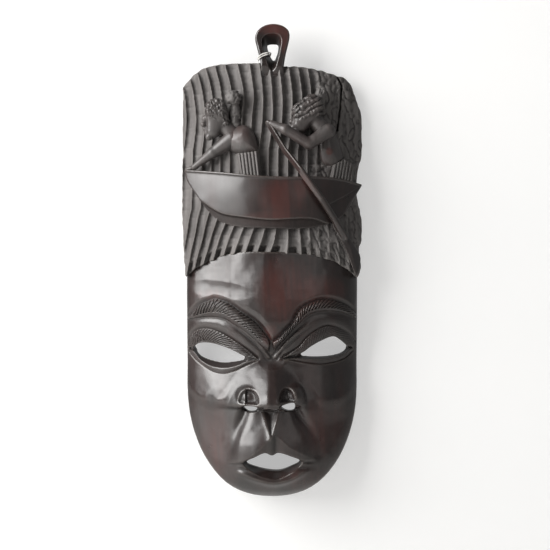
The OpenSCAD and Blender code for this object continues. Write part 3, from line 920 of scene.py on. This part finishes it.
def hair_front(x, z, line):
    """The gouged front of the hair; line is the distance to the hairline."""
    deep = carving().lock_depth / MM
    place = lock_place(x, z)
    lock = np.floor(place)
    across = place - lock
    uneven = 0.5 + 0.5 * noise(lock * 7.3, z, 16, 22)
    rough = soft_step((x - 34) / 14) * soft_step((z + 122) / 14)
    rough = rough + 0.8 * soft_step((x - 18) / 22) * (z <= -108)
    gouge = unit(1 - np.abs(2 * across**0.82 - 1) ** 2.2)
    front = hair_depth(x, z) - deep * (0.75 + 0.5 * uneven) * gouge * (1 - 0.75 * rough)
    # Each gouge stroke ends in a small ledge
    stroke = (z + 9 * noise(lock * 3.1, 0 * z, 1, 23)) / 19
    front = front + 0.35 * (stroke - np.floor(stroke) - 0.5) * gouge * (1 - rough)
    # The right part is roughly chipped, with cuts falling to the left
    slant = noise(x + 0.45 * z, z / 3.2, 4.2, 24) + 0.5 * noise(x - 0.3 * z, z / 2.4, 2.6, 25)
    chips = 1 - np.abs(slant)
    front = front - rough * (1.9 * chips**3 + 0.8 * noise(x, z, 7, 26))
    d, _ = line_distance(x, z, np.array(CRACK))
    front = front - 6 * ridge(d + 0.25 * noise(x, z, 5, 33), 0.6)
    # Along the hairline the locks end in notched, bevelled teeth
    end = unit(1 - line / 8.5)
    tooth = soft_step((0.62 - across) / 0.16) * soft_step(across / 0.1)
    front = front - 3.0 * soft_step((end - 0.12 * uneven) / 0.35) * tooth * (1 - 0.5 * rough) - 1.6 * end**2
    return front + 0.12 * noise(x, z, 2.4, 27)


class MASK_OT_hair(bpy.types.Operator):
    """Carve the tall block of hair: gouged locks, a rough right side, a crack and the notched hairline"""

    bl_idname = "mask.hair"
    bl_label = "Hair"

    def execute(self, context):
        cell = cell_of(carving().cell)
        block = Block((-84, 0, -213), (84, 60, -12), cell)
        x, z = block.x, block.z
        right, left = (smooth_line(points, steps=4) for points in (HAIR_OUTLINE, LEFT_EDGE))
        edge = outline_distance(x, z, np.vstack([right, HAIRLINE[::-1], left]))
        scallop = np.abs(np.sin(np.pi * lock_place(x, z)))
        edge = edge + 0.9 * (1 - scallop) * soft_step((z + 34) / 10) * (np.abs(x) > 14)
        edge = edge + 0.4 * noise(x, z, 4, 28)
        line, _ = line_distance(x, z, smooth_line(HAIRLINE))
        front = hair_front(x, z, line)
        front = front - 1.6 * unit(1 + edge / 5) ** 2 * soft_step((line - 3) / 6)
        solid = block.relief(front, edge, 0.9)
        wall = carving().wall / MM
        inner = cylinder_depth(x, leaning(z) - wall, HAIR_RADIUS - wall) + 0.6 * noise(x, z, 8, 29)
        rim = np.maximum(np.abs(x) - 69.5, z + 31)
        solid = soft_max(solid, -soft_max(block.depth - block.deep(inner), block.deep(rim), 3), 1)
        solid = np.maximum(np.maximum(solid, -loop_hole(block)), -block.depth)
        carve("hair_panel", block, solid, carved_wood(), ["hair_panel", "hair_fringe"])
        return {"FINISHED"}


# ---------------------------------------------------------------- hanging loop
LOOP_OUTLINE = [
    (-15.5, 8), (-13.2, 13.8), (-7, 18.6), (1, 20.2), (9, 18.8), (14.4, 15), (16, 10), (15, 4),
    (12.6, -6), (11.2, -14), (10.6, -19), (9.5, -27), (-9.5, -27), (-10.5, -20), (-10.6, -12),
    (-12.2, -6), (-14.2, 2),
]
LOOP_FRONT_EYE = [
    (-9, 5), (-6, 9.6), (0, 11), (6, 9.8), (8.5, 5), (7, -4), (5, -13), (0.3, -25), (-4.5, -14),
    (-7.8, -4),
]
LOOP_BACK_EYE = [(-4, 1), (-2, 2.8), (4, 3), (5.6, 1.5), (5, -4), (2, -11), (-1.4, -7)]


LOOP_BACK, LOOP_FRONT = 18, 33.5


def loop_hole(block):
    """Distance into the loop's eye."""
    t = unit((block.depth - LOOP_BACK) / (LOOP_FRONT - LOOP_BACK))
    return hole(block, LOOP_FRONT_EYE, LOOP_BACK_EYE, t, 4)


class MASK_OT_loop(bpy.types.Operator):
    """Carve the hanging loop that stands on the top of the hair, with its tapering eye"""

    bl_idname = "mask.loop"
    bl_label = "Hanging loop"

    def execute(self, context):
        cell = cell_of(carving().fine_cell)
        block = Block((-17, 17, -29), (17, 36, 21), cell)
        x, z = block.x, block.z
        edge = outline_distance(x, z, smooth_line(LOOP_OUTLINE, True, 5))
        front = 34.3 - 2.6 * soft_step((-17 - z) / 9) - 0.9 * soft_step((x - 3) / 12)
        front = front + 0.25 * noise(x, z, 7, 31)
        solid = block.relief(front, edge, 2.2)
        solid = soft_max(solid, LOOP_BACK - block.depth, 1.5)
        solid = soft_max(solid, -loop_hole(block), 1.2)
        carve("hanging_loop", block, solid, polished_wood(), ["hanging_loop"])
        return {"FINISHED"}


# ---------------------------------------------------------------- canoe and paddle
GUNWALE = [
    (-80.3, -111.7), (-51, -114.9), (-12, -119.3), (21.5, -120.2), (44.5, -119.4), (64, -120.8),
    (82.4, -124.8),
]
KEEL = [
    (-80.3, -113), (-77, -123), (-69, -135), (-59.5, -148.3), (-47.8, -159), (-31, -164.4), (-10, -165.7),
    (13, -166.4), (33, -165.6), (51, -161.4), (65.5, -153), (77.5, -134), (82.4, -126),
]
CHINE = [
    (-90, -120), (-66, -139), (-46.5, -151.6), (-25, -155.8), (0, -158.3), (33, -157), (51, -161.6),
    (90, -175),
]


def canoe_depth(x):
    """Depth of the canoe's side along its rail."""
    return 59.2 - 0.0061 * x**2 + 0.0016 * np.clip(-36 - x, 0, 60) ** 2


def above_chine(x, z):
    """Height above the edge between the canoe's side and its keel."""
    return z - height_on(CHINE, x)


def canoe_front(x, z):
    """The canoe's carved front, with a tapering stern and a scratch."""
    rail = z - height_on(GUNWALE, x)
    low = above_chine(x, z)
    front = canoe_depth(x) - 2.4 * unit(-rail / 38) ** 2 - 3.2 * soft_step(-low / 1.6)
    front = front - 0.25 * np.clip(-low, 0, 8) + 1.0 * soft_step((rail + 2.2) / 0.8)
    stern, _ = line_distance(x, z, np.array([(79, -133), (71, -144), (64, -157)]))
    behind = (x - 64) * 24 - (z + 157) * 15 > 0
    front = front - 2.0 * soft_step(stern / 1.5) * behind
    front = front - 0.8 * ridge(stern, 0.9)
    scratch, _ = line_distance(x, z, np.array([(49, -146), (66, -137), (80, -128)]))
    return front - 0.5 * ridge(scratch, 0.6) + 0.2 * noise(x, z, 11, 32)


def on_hair(block, edge, front, sink=4.0, edge_round=1.0):
    """A relief standing on the hair: carved front and outline, its back sunk into the hair."""
    solid = block.relief(front, edge, edge_round)
    ground = hair_depth(block.x, block.z) - carving().lock_depth / MM
    return np.maximum(solid, block.back_at(np.maximum(ground - sink, 0.5)))


class MASK_OT_canoe(bpy.types.Operator):
    """Carve the canoe: a smooth bulging side with a thin rail along its top, over a dull undercut keel"""

    bl_idname = "mask.canoe"
    bl_label = "Canoe"

    def execute(self, context):
        cell = cell_of(carving().fine_cell, 1.2)
        block = Block((-83, 4, -168), (83.2, 62, -109), cell)
        outline = np.vstack([smooth_line(GUNWALE), smooth_line(KEEL)[::-1]])
        edge = outline_distance(block.x, block.z, outline)
        solid = on_hair(block, edge, canoe_front(block.x, block.z), 4.0, 0.8)
        low = block.deep(above_chine(block.x, block.z))
        hull, keel = np.maximum(solid, -low), np.maximum(solid, low - 0.8)
        carve("canoe", block, hull, polished_wood(), ["canoe_hull", "canoe_gunwale"])
        carve("keel", block, keel, keel_wood(), ["canoe_keel"])
        return {"FINISHED"}


SHAFT = [
    (-3, 46, -71.5), (10.4, 52, -96), (25.3, 59, -114.4), (44, 55, -139.5), (55.8, 44, -157),
    (66, 36.5, -174),
]
BLADE = [
    (56, -160), (60, -159), (72.8, -178), (80.3, -189.5), (80.2, -200), (76.8, -209), (72.5, -200),
    (67.6, -187), (58.5, -170), (54.8, -164),
]


class MASK_OT_paddle(bpy.types.Operator):
    """Carve the long paddle that crosses the canoe, with its ridged blade"""

    bl_idname = "mask.paddle"
    bl_label = "Paddle"

    def execute(self, context):
        cell = cell_of(carving().fine_cell, 1.2)
        block = Block((-8, 18, -211), (82, 66, -66), cell)
        x, z = block.x, block.z
        solid = np.minimum.reduce([block.limb(a, b, 3.1, 3.1) for a, b in zip(SHAFT[:-1], SHAFT[1:])])
        # The shaft's upper left side is planed flat
        (ax, _, az), (bx, _, bz) = SHAFT[0], SHAFT[-1]
        side = ((x - ax) * (bz - az) - (z - az) * (bx - ax)) / math.hypot(bx - ax, bz - az)
        spine = np.interp(x, [place[0] for place in SHAFT], [place[1] for place in SHAFT])
        plane = block.depth - block.deep(spine + 2.6) + 0.9 * block.deep(side)
        solid = soft_max(solid, plane / 1.35, 0.4)
        blade_edge = outline_distance(x, z, smooth_line(BLADE, True, 3))
        rib, _ = line_distance(x, z, np.array([(57, -160), (70, -180), (78, -205)]))
        front = hair_depth(x, z) + 3.2 - 0.42 * rib
        blade = block.relief(front, blade_edge, 0.6)
        blade = np.maximum(blade, block.back_at(hair_depth(x, z) - FIGURE_SINK))
        solid = soft_min(solid, blade, 1.0)
        carve("paddle", block, solid, polished_wood(), ["paddle_shaft", "paddle_blade"])
        return {"FINISHED"}


# ---------------------------------------------------------------- paddlers
def curls(x, z, size, seed):
    """Small knotted cuts, for the paddlers' hair."""
    fine = np.abs(noise(x - 0.4 * z, z * 0.8, size * 0.6, seed + 1))
    return np.abs(noise(x + 0.3 * z, z, size, seed)) + 0.6 * fine


def swelling(edge, height, reach):
    """A rounded swelling inside an outline, at its full height from reach inwards."""
    return height * np.sqrt(unit(1 - (1 - unit(-edge / reach)) ** 2))


def joined(solid, block, balls, k):
    """A solid with small balls joined to it, for the features of a face."""
    for *place, r in balls:
        solid = soft_min(solid, block.round(*place, r), k)
    return solid


def figure(name, low, high, shape, material, slot):
    """One part of a paddler, carved by its shape function and let into the hair."""
    block = Block(low, high, cell_of(carving().fine_cell))
    back = block.back_at(hair_depth(block.x, block.z) - FIGURE_SINK)
    carve(name, block, np.maximum(shape(block), back), material, [name])


def bow_head(block):
    x, z = block.x, block.z
    jaw = block.limb((-50, 37, -66), (-53, 36, -77), 9.5, 7)
    solid = soft_min(block.round(-49.5, 37, -62, 10.5), jaw, 3)
    # Nose, two lips and chin
    solid = joined(solid, block, (
        (-60.5, 37, -66.5, 3.2), (-62.3, 37.5, -71.5, 2.6), (-60.6, 36.5, -75.6, 2.2),
        (-59.6, 36, -78.6, 2.2), (-57, 37, -83, 3.4)), 1.5)
    solid = soft_min(solid, block.limb((-44, 35, -72), (-36, 36, -80), 6.5, 7), 2)
    solid = soft_max(solid, -block.round(-57.5, 46, -68.5, 2.6), 0.8)
    solid = soft_max(solid, block.depth - 43.5, 3)
    cap = soft_max(block.limb((-50.5, 38.5, -58.5), (-43, 38, -70), 11.2, 6), block.depth - 46, 2)
    cap = cap + block.deep(1.3 * curls(x, z, 2.4, 51))
    return soft_min(solid, cap, 0.5)


def bow_bun(block):
    x, z = block.x, block.z
    stalk = block.limb((-34, 34, -56), (-33, 34, -72), 5.5, 5.5)
    solid = soft_min(block.round(-35, 37.5, -47.5, 8), stalk, 1.5)
    return solid + block.deep(1.3 * curls(x, z, 3.6, 53))


def bow_torso(block):
    x, z = block.x, block.z
    edge = outline_distance(x, z, smooth_line([
        (-40, -78), (-32, -73), (-23.5, -72.3), (-16.5, -79.5), (-12.2, -94), (-15.5, -98), (-29, -99.5),
        (-38, -95), (-44, -87)], True))
    return on_hair(block, edge, hair_depth(x, z) + swelling(edge, 12.5, 12.5) - 2)


def bow_arm(block):
    solid = block.limb((-36, 37, -85), (-54, 36, -97.5), 8.2, 4.9)
    solid = soft_min(solid, block.limb((-54, 36.5, -97.5), (-71, 29, -109.5), 4.9, 2.6), 1.5)
    return soft_min(solid, block.limb((-69, 29, -109), (-78, 24, -111.5), 2.4, 1.6), 1)


def pleated(block, outline, height, pitch, lean):
    """A skirt with leaning pleats."""
    x, z = block.x, block.z
    edge = outline_distance(x, z, np.array(outline, float))
    fold = np.abs(np.sin(np.pi * (x + lean * z) / pitch))
    front = hair_depth(x, z) + height * soft_step(-edge / 2.5) - 1.7 * (1 - fold) ** 1.6
    return on_hair(block, edge, front)


def bow_skirt(block):
    return pleated(block, [(-33, -97), (-12, -94.5), (-9, -123), (-28, -123)], 6.5, 3.1, 0.12)


def stern_head(block):
    x, z = block.x, block.z
    jaw = block.limb((30, 39, -64), (25, 39.5, -73), 9.5, 7.5)
    solid = soft_min(block.round(33.5, 38.5, -59, 11.5), jaw, 3)
    solid = joined(solid, block, ((17.8, 40.5, -69.5, 2.5), (18.5, 41, -75, 2.6), (21.5, 44, -79.5, 3.2),
                                  (24, 45.5, -72, 3.6)), 1.4)
    solid = soft_max(solid, -block.round(23, 49.5, -67.5, 2.8), 0.8)
    solid = soft_max(solid, block.depth - 47, 3)
    cap = soft_max(block.limb((36, 39, -56), (27, 39.5, -61), 12.3, 10.8), block.depth - 49, 2)
    waves = np.abs(np.sin((x * 0.55 - z * 0.85) / 1.5 + 1.2 * noise(x, z, 5, 57)))
    cap = cap + block.deep(1.7 * (1 - waves) ** 1.5 + 0.9 * curls(x, z, 2.6, 55))
    neck = block.limb((37, 36, -66), (46, 37, -76), 7.5, 7.5)
    return soft_min(soft_min(solid, cap, 0.5), neck, 2)


def stern_bun(block):
    solid = block.limb((44.5, 34, -40.5), (43, 35, -49), 5.2, 5.8)
    return solid + block.deep(1.2 * curls(block.x, block.z, 3.6, 58))


def stern_torso(block):
    x, z = block.x, block.z
    edge = outline_distance(x, z, smooth_line([
        (41, -74), (48, -72.6), (56, -74.5), (61, -83), (64.4, -95), (65, -104), (57, -110), (48, -109),
        (43.5, -102), (42.5, -92), (42, -82)], True))
    front = hair_depth(x, z) + swelling(edge, 10, 12) - 2
    return on_hair(block, edge, front - 2.0 * dome(x, z, 46, -104, 12, 10, 1))


def stern_arm(block):
    upper = block.limb((50.5, 41, -78), (33, 46, -90), 6.8, 5.0)
    fore = block.limb((33, 46, -90), (12, 50, -77.5), 5.0, 4.6)
    hand = block.limb((12, 50, -77.5), (-0.5, 47.5, -71.8), 4.6, 2.8)
    return soft_min(soft_min(upper, fore, 1.5), hand, 1.5)


def stern_skirt(block):
    return pleated(block, [(54, -107), (66, -100), (76, -106), (75, -127), (52, -126)], 6, 2.9, -0.18)


# Each part of a paddler: its name, the low and high corners of its block, its shape, and whether it is waxed
FIGURES = (
    ("bow_paddler_head", (-68, 18, -90), (-28, 56, -46), bow_head, True),
    ("bow_paddler_bun", (-46, 16, -80), (-24, 52, -38), bow_bun, False),
    ("bow_paddler_torso", (-46, 18, -102), (-10, 60, -70), bow_torso, True),
    ("bow_paddler_arm", (-81, 10, -115), (-25, 54, -72), bow_arm, True),
    ("bow_paddler_skirt", (-35, 20, -125), (-8, 56, -92), bow_skirt, False),
    ("stern_paddler_head", (13, 18, -88), (56, 56, -43), stern_head, True),
    ("stern_paddler_bun", (36, 16, -58), (52, 48, -33), stern_bun, False),
    ("stern_paddler_torso", (34, 10, -114), (67, 58, -70), stern_torso, True),
    ("stern_paddler_arm", (-5, 24, -98), (60, 58, -66), stern_arm, True),
    ("stern_paddler_skirt", (50, 8, -129), (78, 48, -98), stern_skirt, False),
)


class MASK_OT_paddlers(bpy.types.Operator):
    """Carve the two paddlers in the canoe, each with head, hair bun, body, arm and pleated skirt"""

    bl_idname = "mask.paddlers"
    bl_label = "Paddlers"

    def execute(self, context):
        for *part, waxed in FIGURES:
            wood = (handled_wood(), "polished_wood") if waxed else (carved_wood(), "carved_wood")
            figure(*part, *wood)
        return {"FINISHED"}


# ---------------------------------------------------------------- string
# The tie string's way twice round the loop's left leg, in metres, from the knot to its end
STRING_ROUTE = [
    (-0.007, -0.0168, -0.009), (-0.011, -0.017, -0.0095), (-0.0122, -0.022, -0.011),
    (-0.0124, -0.028, -0.0125), (-0.0118, -0.0345, -0.0118), (-0.008, -0.035, -0.0092),
    (-0.004, -0.0345, -0.008), (-0.002, -0.031, -0.0075), (-0.0016, -0.026, -0.007),
    (-0.002, -0.019, -0.007), (-0.005, -0.017, -0.0075), (-0.010, -0.017, -0.008),
    (-0.0124, -0.020, -0.0095), (-0.0128, -0.028, -0.011), (-0.0122, -0.0345, -0.010),
    (-0.0085, -0.0352, -0.0076), (-0.0042, -0.0348, -0.0064), (-0.0018, -0.031, -0.006),
    (-0.0012, -0.025, -0.006), (-0.0025, -0.0175, -0.007), (-0.0065, -0.0158, -0.008),
]
STRING_D = 0.0012
KNOT_PLACE = (-0.0068, -0.014, -0.0085)
KNOT_R = 0.002


def string_material():
    """Loose white cotton, twisted."""
    if "white_cotton" in bpy.data.materials:
        return bpy.data.materials["white_cotton"]
    material, tree, shader = new_material("white_cotton")
    fuzz = grain_noise(tree, (1, 1, 1), 2600.0, 3.0)
    place = mapped(tree, (1, 1, 1.4))
    twist = node(tree, "ShaderNodeTexWave", {"Vector": place, "Scale": 420.0, "Distortion": 1.0},
                 bands_direction="DIAGONAL")
    bump = node(tree, "ShaderNodeBump", {"Height": twist.outputs["Fac"], "Strength": 0.7, "Distance": 0.0002})
    fill(tree, shader, {
        "Base Color": ramp(tree, fuzz, ((0.3, (0.62, 0.60, 0.56)), (0.65, (0.86, 0.85, 0.82)))),
        "Roughness": ramp(tree, fuzz, ((0.3, 0.95), (0.7, 0.8))), "Normal": bump.outputs["Normal"],
    })
    return material


def two_ply(path, radius, sides=16, turns_per_metre=420):
    """A closed tube along path, its section twisted so that two plies show."""
    tangent = np.gradient(path, axis=0)
    tangent /= np.linalg.norm(tangent, axis=1, keepdims=True)
    across = np.cross(tangent[0], (0.3, 0.2, 0.9))
    verts, along = [], 0.0
    for i, (point, t) in enumerate(zip(path, tangent)):
        along += np.linalg.norm(point - path[max(i - 1, 0)])
        across = across - t * across.dot(t)
        across /= np.linalg.norm(across)
        other = np.cross(t, across)
        for k in range(sides):
            a = 2 * np.pi * k / sides
            r = radius * (0.84 + 0.16 * abs(math.cos(a - np.pi * turns_per_metre * along)))
            verts.append(point + r * (math.cos(a) * across + math.sin(a) * other))
    rings = np.arange(len(verts)).reshape(-1, sides)
    walls = np.stack([rings[:-1], np.roll(rings, -1, 1)[:-1], np.roll(rings, -1, 1)[1:], rings[1:]], axis=2)
    return verts, [*walls.reshape(-1, 4).tolist(), rings[0, ::-1].tolist(), rings[-1].tolist()]


class MASK_OT_string(bpy.types.Operator):
    """Wind the white tie string twice round the loop's left leg, with its knot behind"""

    bl_idname = "mask.string"
    bl_label = "Tie string and knot"

    def execute(self, context):
        path = smooth_line(STRING_ROUTE, steps=12)
        verts, faces = two_ply(path, STRING_D / 2)
        mesh = bpy.data.meshes.new("tie_string")
        mesh.from_pydata([tuple(v) for v in verts], [], faces)
        mesh.polygons.foreach_set("use_smooth", [True] * len(faces))
        mesh.materials.append(string_material())
        string = bpy.data.objects.new("cotton_string", mesh)
        context.collection.objects.link(string)
        bpy.ops.mesh.primitive_uv_sphere_add(segments=48, ring_count=32, radius=KNOT_R, location=(0, 0, 0))
        knot = context.active_object
        knot.name = "cotton_knot"
        for v in knot.data.vertices:
            # The turns of the knot cross as low rounded ridges
            n = v.co.normalized()
            ridge = abs(math.sin(3 * math.atan2(n.z, n.x) + 2.5 * n.y)) ** 0.7
            v.co = n * KNOT_R * (0.82 + 0.18 * ridge) + Vector(KNOT_PLACE)
        knot.data.polygons.foreach_set("use_smooth", [True] * len(knot.data.polygons))
        knot.data.materials.append(string_material())
        for piece, name in ((string, "tie_string"), (knot, "tie_knot")):
            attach(piece, BODY)
            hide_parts(name)
        return {"FINISHED"}


# ---------------------------------------------------------------- stage
def area_light(name, place, aim, size, power, colour):
    data = bpy.data.lights.new(name, "AREA")
    data.shape = "RECTANGLE"
    data.size, data.size_y = size
    data.energy = power
    data.color = colour
    light = bpy.data.objects.new(name, data)
    light.location = place
    light.rotation_euler = (Vector(aim) - Vector(place)).to_track_quat("-Z", "Y").to_euler()
    bpy.context.collection.objects.link(light)


def backdrop_material():
    """White paint that glows a little, and that is clear from behind."""
    material, tree, paint = new_material("white_wall")
    fill(tree, paint, {
        "Base Color": (0.6, 0.6, 0.592, 1), "Roughness": 0.9, "Specular IOR Level": 0.0,
        "Emission Color": (1, 1, 1, 1), "Emission Strength": 0.45,
    })
    clear = node(tree, "ShaderNodeBsdfTransparent")
    behind = node(tree, "ShaderNodeNewGeometry").outputs["Backfacing"]
    both = node(tree, "ShaderNodeMixShader", {0: behind, 1: paint.outputs[0], 2: clear.outputs[0]})
    tree.links.new(both.outputs[0], tree.nodes["Material Output"].inputs["Surface"])
    return material


def sheet_object(name, corners, material):
    mesh = bpy.data.meshes.new(name)
    mesh.from_pydata(corners, [], [(0, 1, 2, 3)])
    mesh.materials.append(material)
    made = bpy.data.objects.new(name, mesh)
    bpy.context.collection.objects.link(made)
    return made


class MASK_OT_stage(bpy.types.Operator):
    """Set up the white wall, the pale floor, the soft light and the camera"""

    bl_idname = "mask.stage"
    bl_label = "Wall, floor, light and camera"

    def execute(self, context):
        scene, stage = context.scene, context.scene.mask_stage
        # The middle of the view, half the wall's width, the gap behind the mask, and the floor's height
        middle, half, gap, floor_z = -0.208, 3.0, 0.003, -0.62
        wall = sheet_object("wall", [(-half, gap, floor_z), (half, gap, floor_z), (half, gap, half),
                                     (-half, gap, half)], backdrop_material())
        for way in ("visible_diffuse", "visible_glossy", "visible_transmission", "visible_shadow"):
            setattr(wall, way, False)
        floor, tree, shader = new_material("pale_floor")
        fleck = grain_noise(tree, (1, 1, 1), 40.0)
        shades = ((0.3, (0.74, 0.73, 0.71)), (0.7, (0.8, 0.79, 0.77)))
        fill(tree, shader, {"Base Color": ramp(tree, fleck, shades)})
        sheet_object("floor", [(-half, -half, floor_z), (half, -half, floor_z), (half, half, floor_z),
                               (-half, half, floor_z)], floor)

        camera = bpy.data.objects.new("camera", bpy.data.cameras.new("camera"))
        sensor, front = 36, 0.045
        camera.data.sensor_width = sensor
        camera.data.lens = sensor * (stage.distance - front) / stage.framed
        camera.location = (0.0027, -stage.distance, middle)
        camera.rotation_euler = (math.radians(90), 0, 0)
        bpy.context.collection.objects.link(camera)
        scene.camera = camera

        world = bpy.data.worlds.new("room")
        world.use_nodes = True
        tree = world.node_tree
        place = node(tree, "ShaderNodeTexCoord").outputs["Generated"]
        ahead = node(tree, "ShaderNodeSeparateXYZ", {"Vector": place}).outputs["Y"]
        light = ramp(tree, sums(tree, "MULTIPLY_ADD", ahead, 0.5, 0.5), ((0.2, 0.40), (0.75, 0.8)))
        tree.links.new(light, tree.nodes["Background"].inputs["Color"])
        tree.nodes["Background"].inputs["Strength"].default_value = 0.28
        scene.world = world
        scene.view_settings.view_transform = "Standard"
        aim = (0, 0, middle)
        area_light("window", (-1.5, -0.85, 0.5), aim, (1.4, 1.6), 62, (1.0, 0.99, 0.98))
        area_light("fill", (1.2, -1.6, 0.3), aim, (1.0, 1.0), 2.0, (1.0, 0.98, 0.96))
        return {"FINISHED"}


# ---------------------------------------------------------------- panel and run
STEPS = ("stage", "face", "brows", "lids", "hair", "loop", "canoe", "paddle", "paddlers", "string")


class MASK_PT_panel(bpy.types.Panel):
    """Lists what makes the mask"""

    bl_label = "Carved Wall Mask"
    bl_idname = "MASK_PT_panel"
    bl_space_type = "VIEW_3D"
    bl_region_type = "UI"
    bl_category = "Mask"

    def draw(self, context):
        for group in ("mask_carving", "mask_wood", "mask_stage"):
            for name in getattr(context.scene, group).bl_rna.properties.keys():
                if name not in ("rna_type", "name"):
                    self.layout.prop(getattr(context.scene, group), name)
        for step in STEPS:
            self.layout.operator("mask." + step)


CLASSES = (MaskCarving, MaskWood, MaskStage, MASK_OT_stage, MASK_OT_face, MASK_OT_brows, MASK_OT_lids,
           MASK_OT_hair, MASK_OT_loop, MASK_OT_canoe, MASK_OT_paddle, MASK_OT_paddlers, MASK_OT_string,
           MASK_PT_panel)


def register():
    for cls in CLASSES:
        bpy.utils.register_class(cls)
    bpy.types.Scene.mask_carving = PointerProperty(type=MaskCarving)
    bpy.types.Scene.mask_wood = PointerProperty(type=MaskWood)
    bpy.types.Scene.mask_stage = PointerProperty(type=MaskStage)


def unregister():
    for name in ("mask_stage", "mask_wood", "mask_carving"):
        delattr(bpy.types.Scene, name)
    for cls in reversed(CLASSES):
        bpy.utils.unregister_class(cls)


def main():
    register()
    for step in STEPS:
        getattr(bpy.ops.mask, step)()


if __name__ == "__main__":
    main()
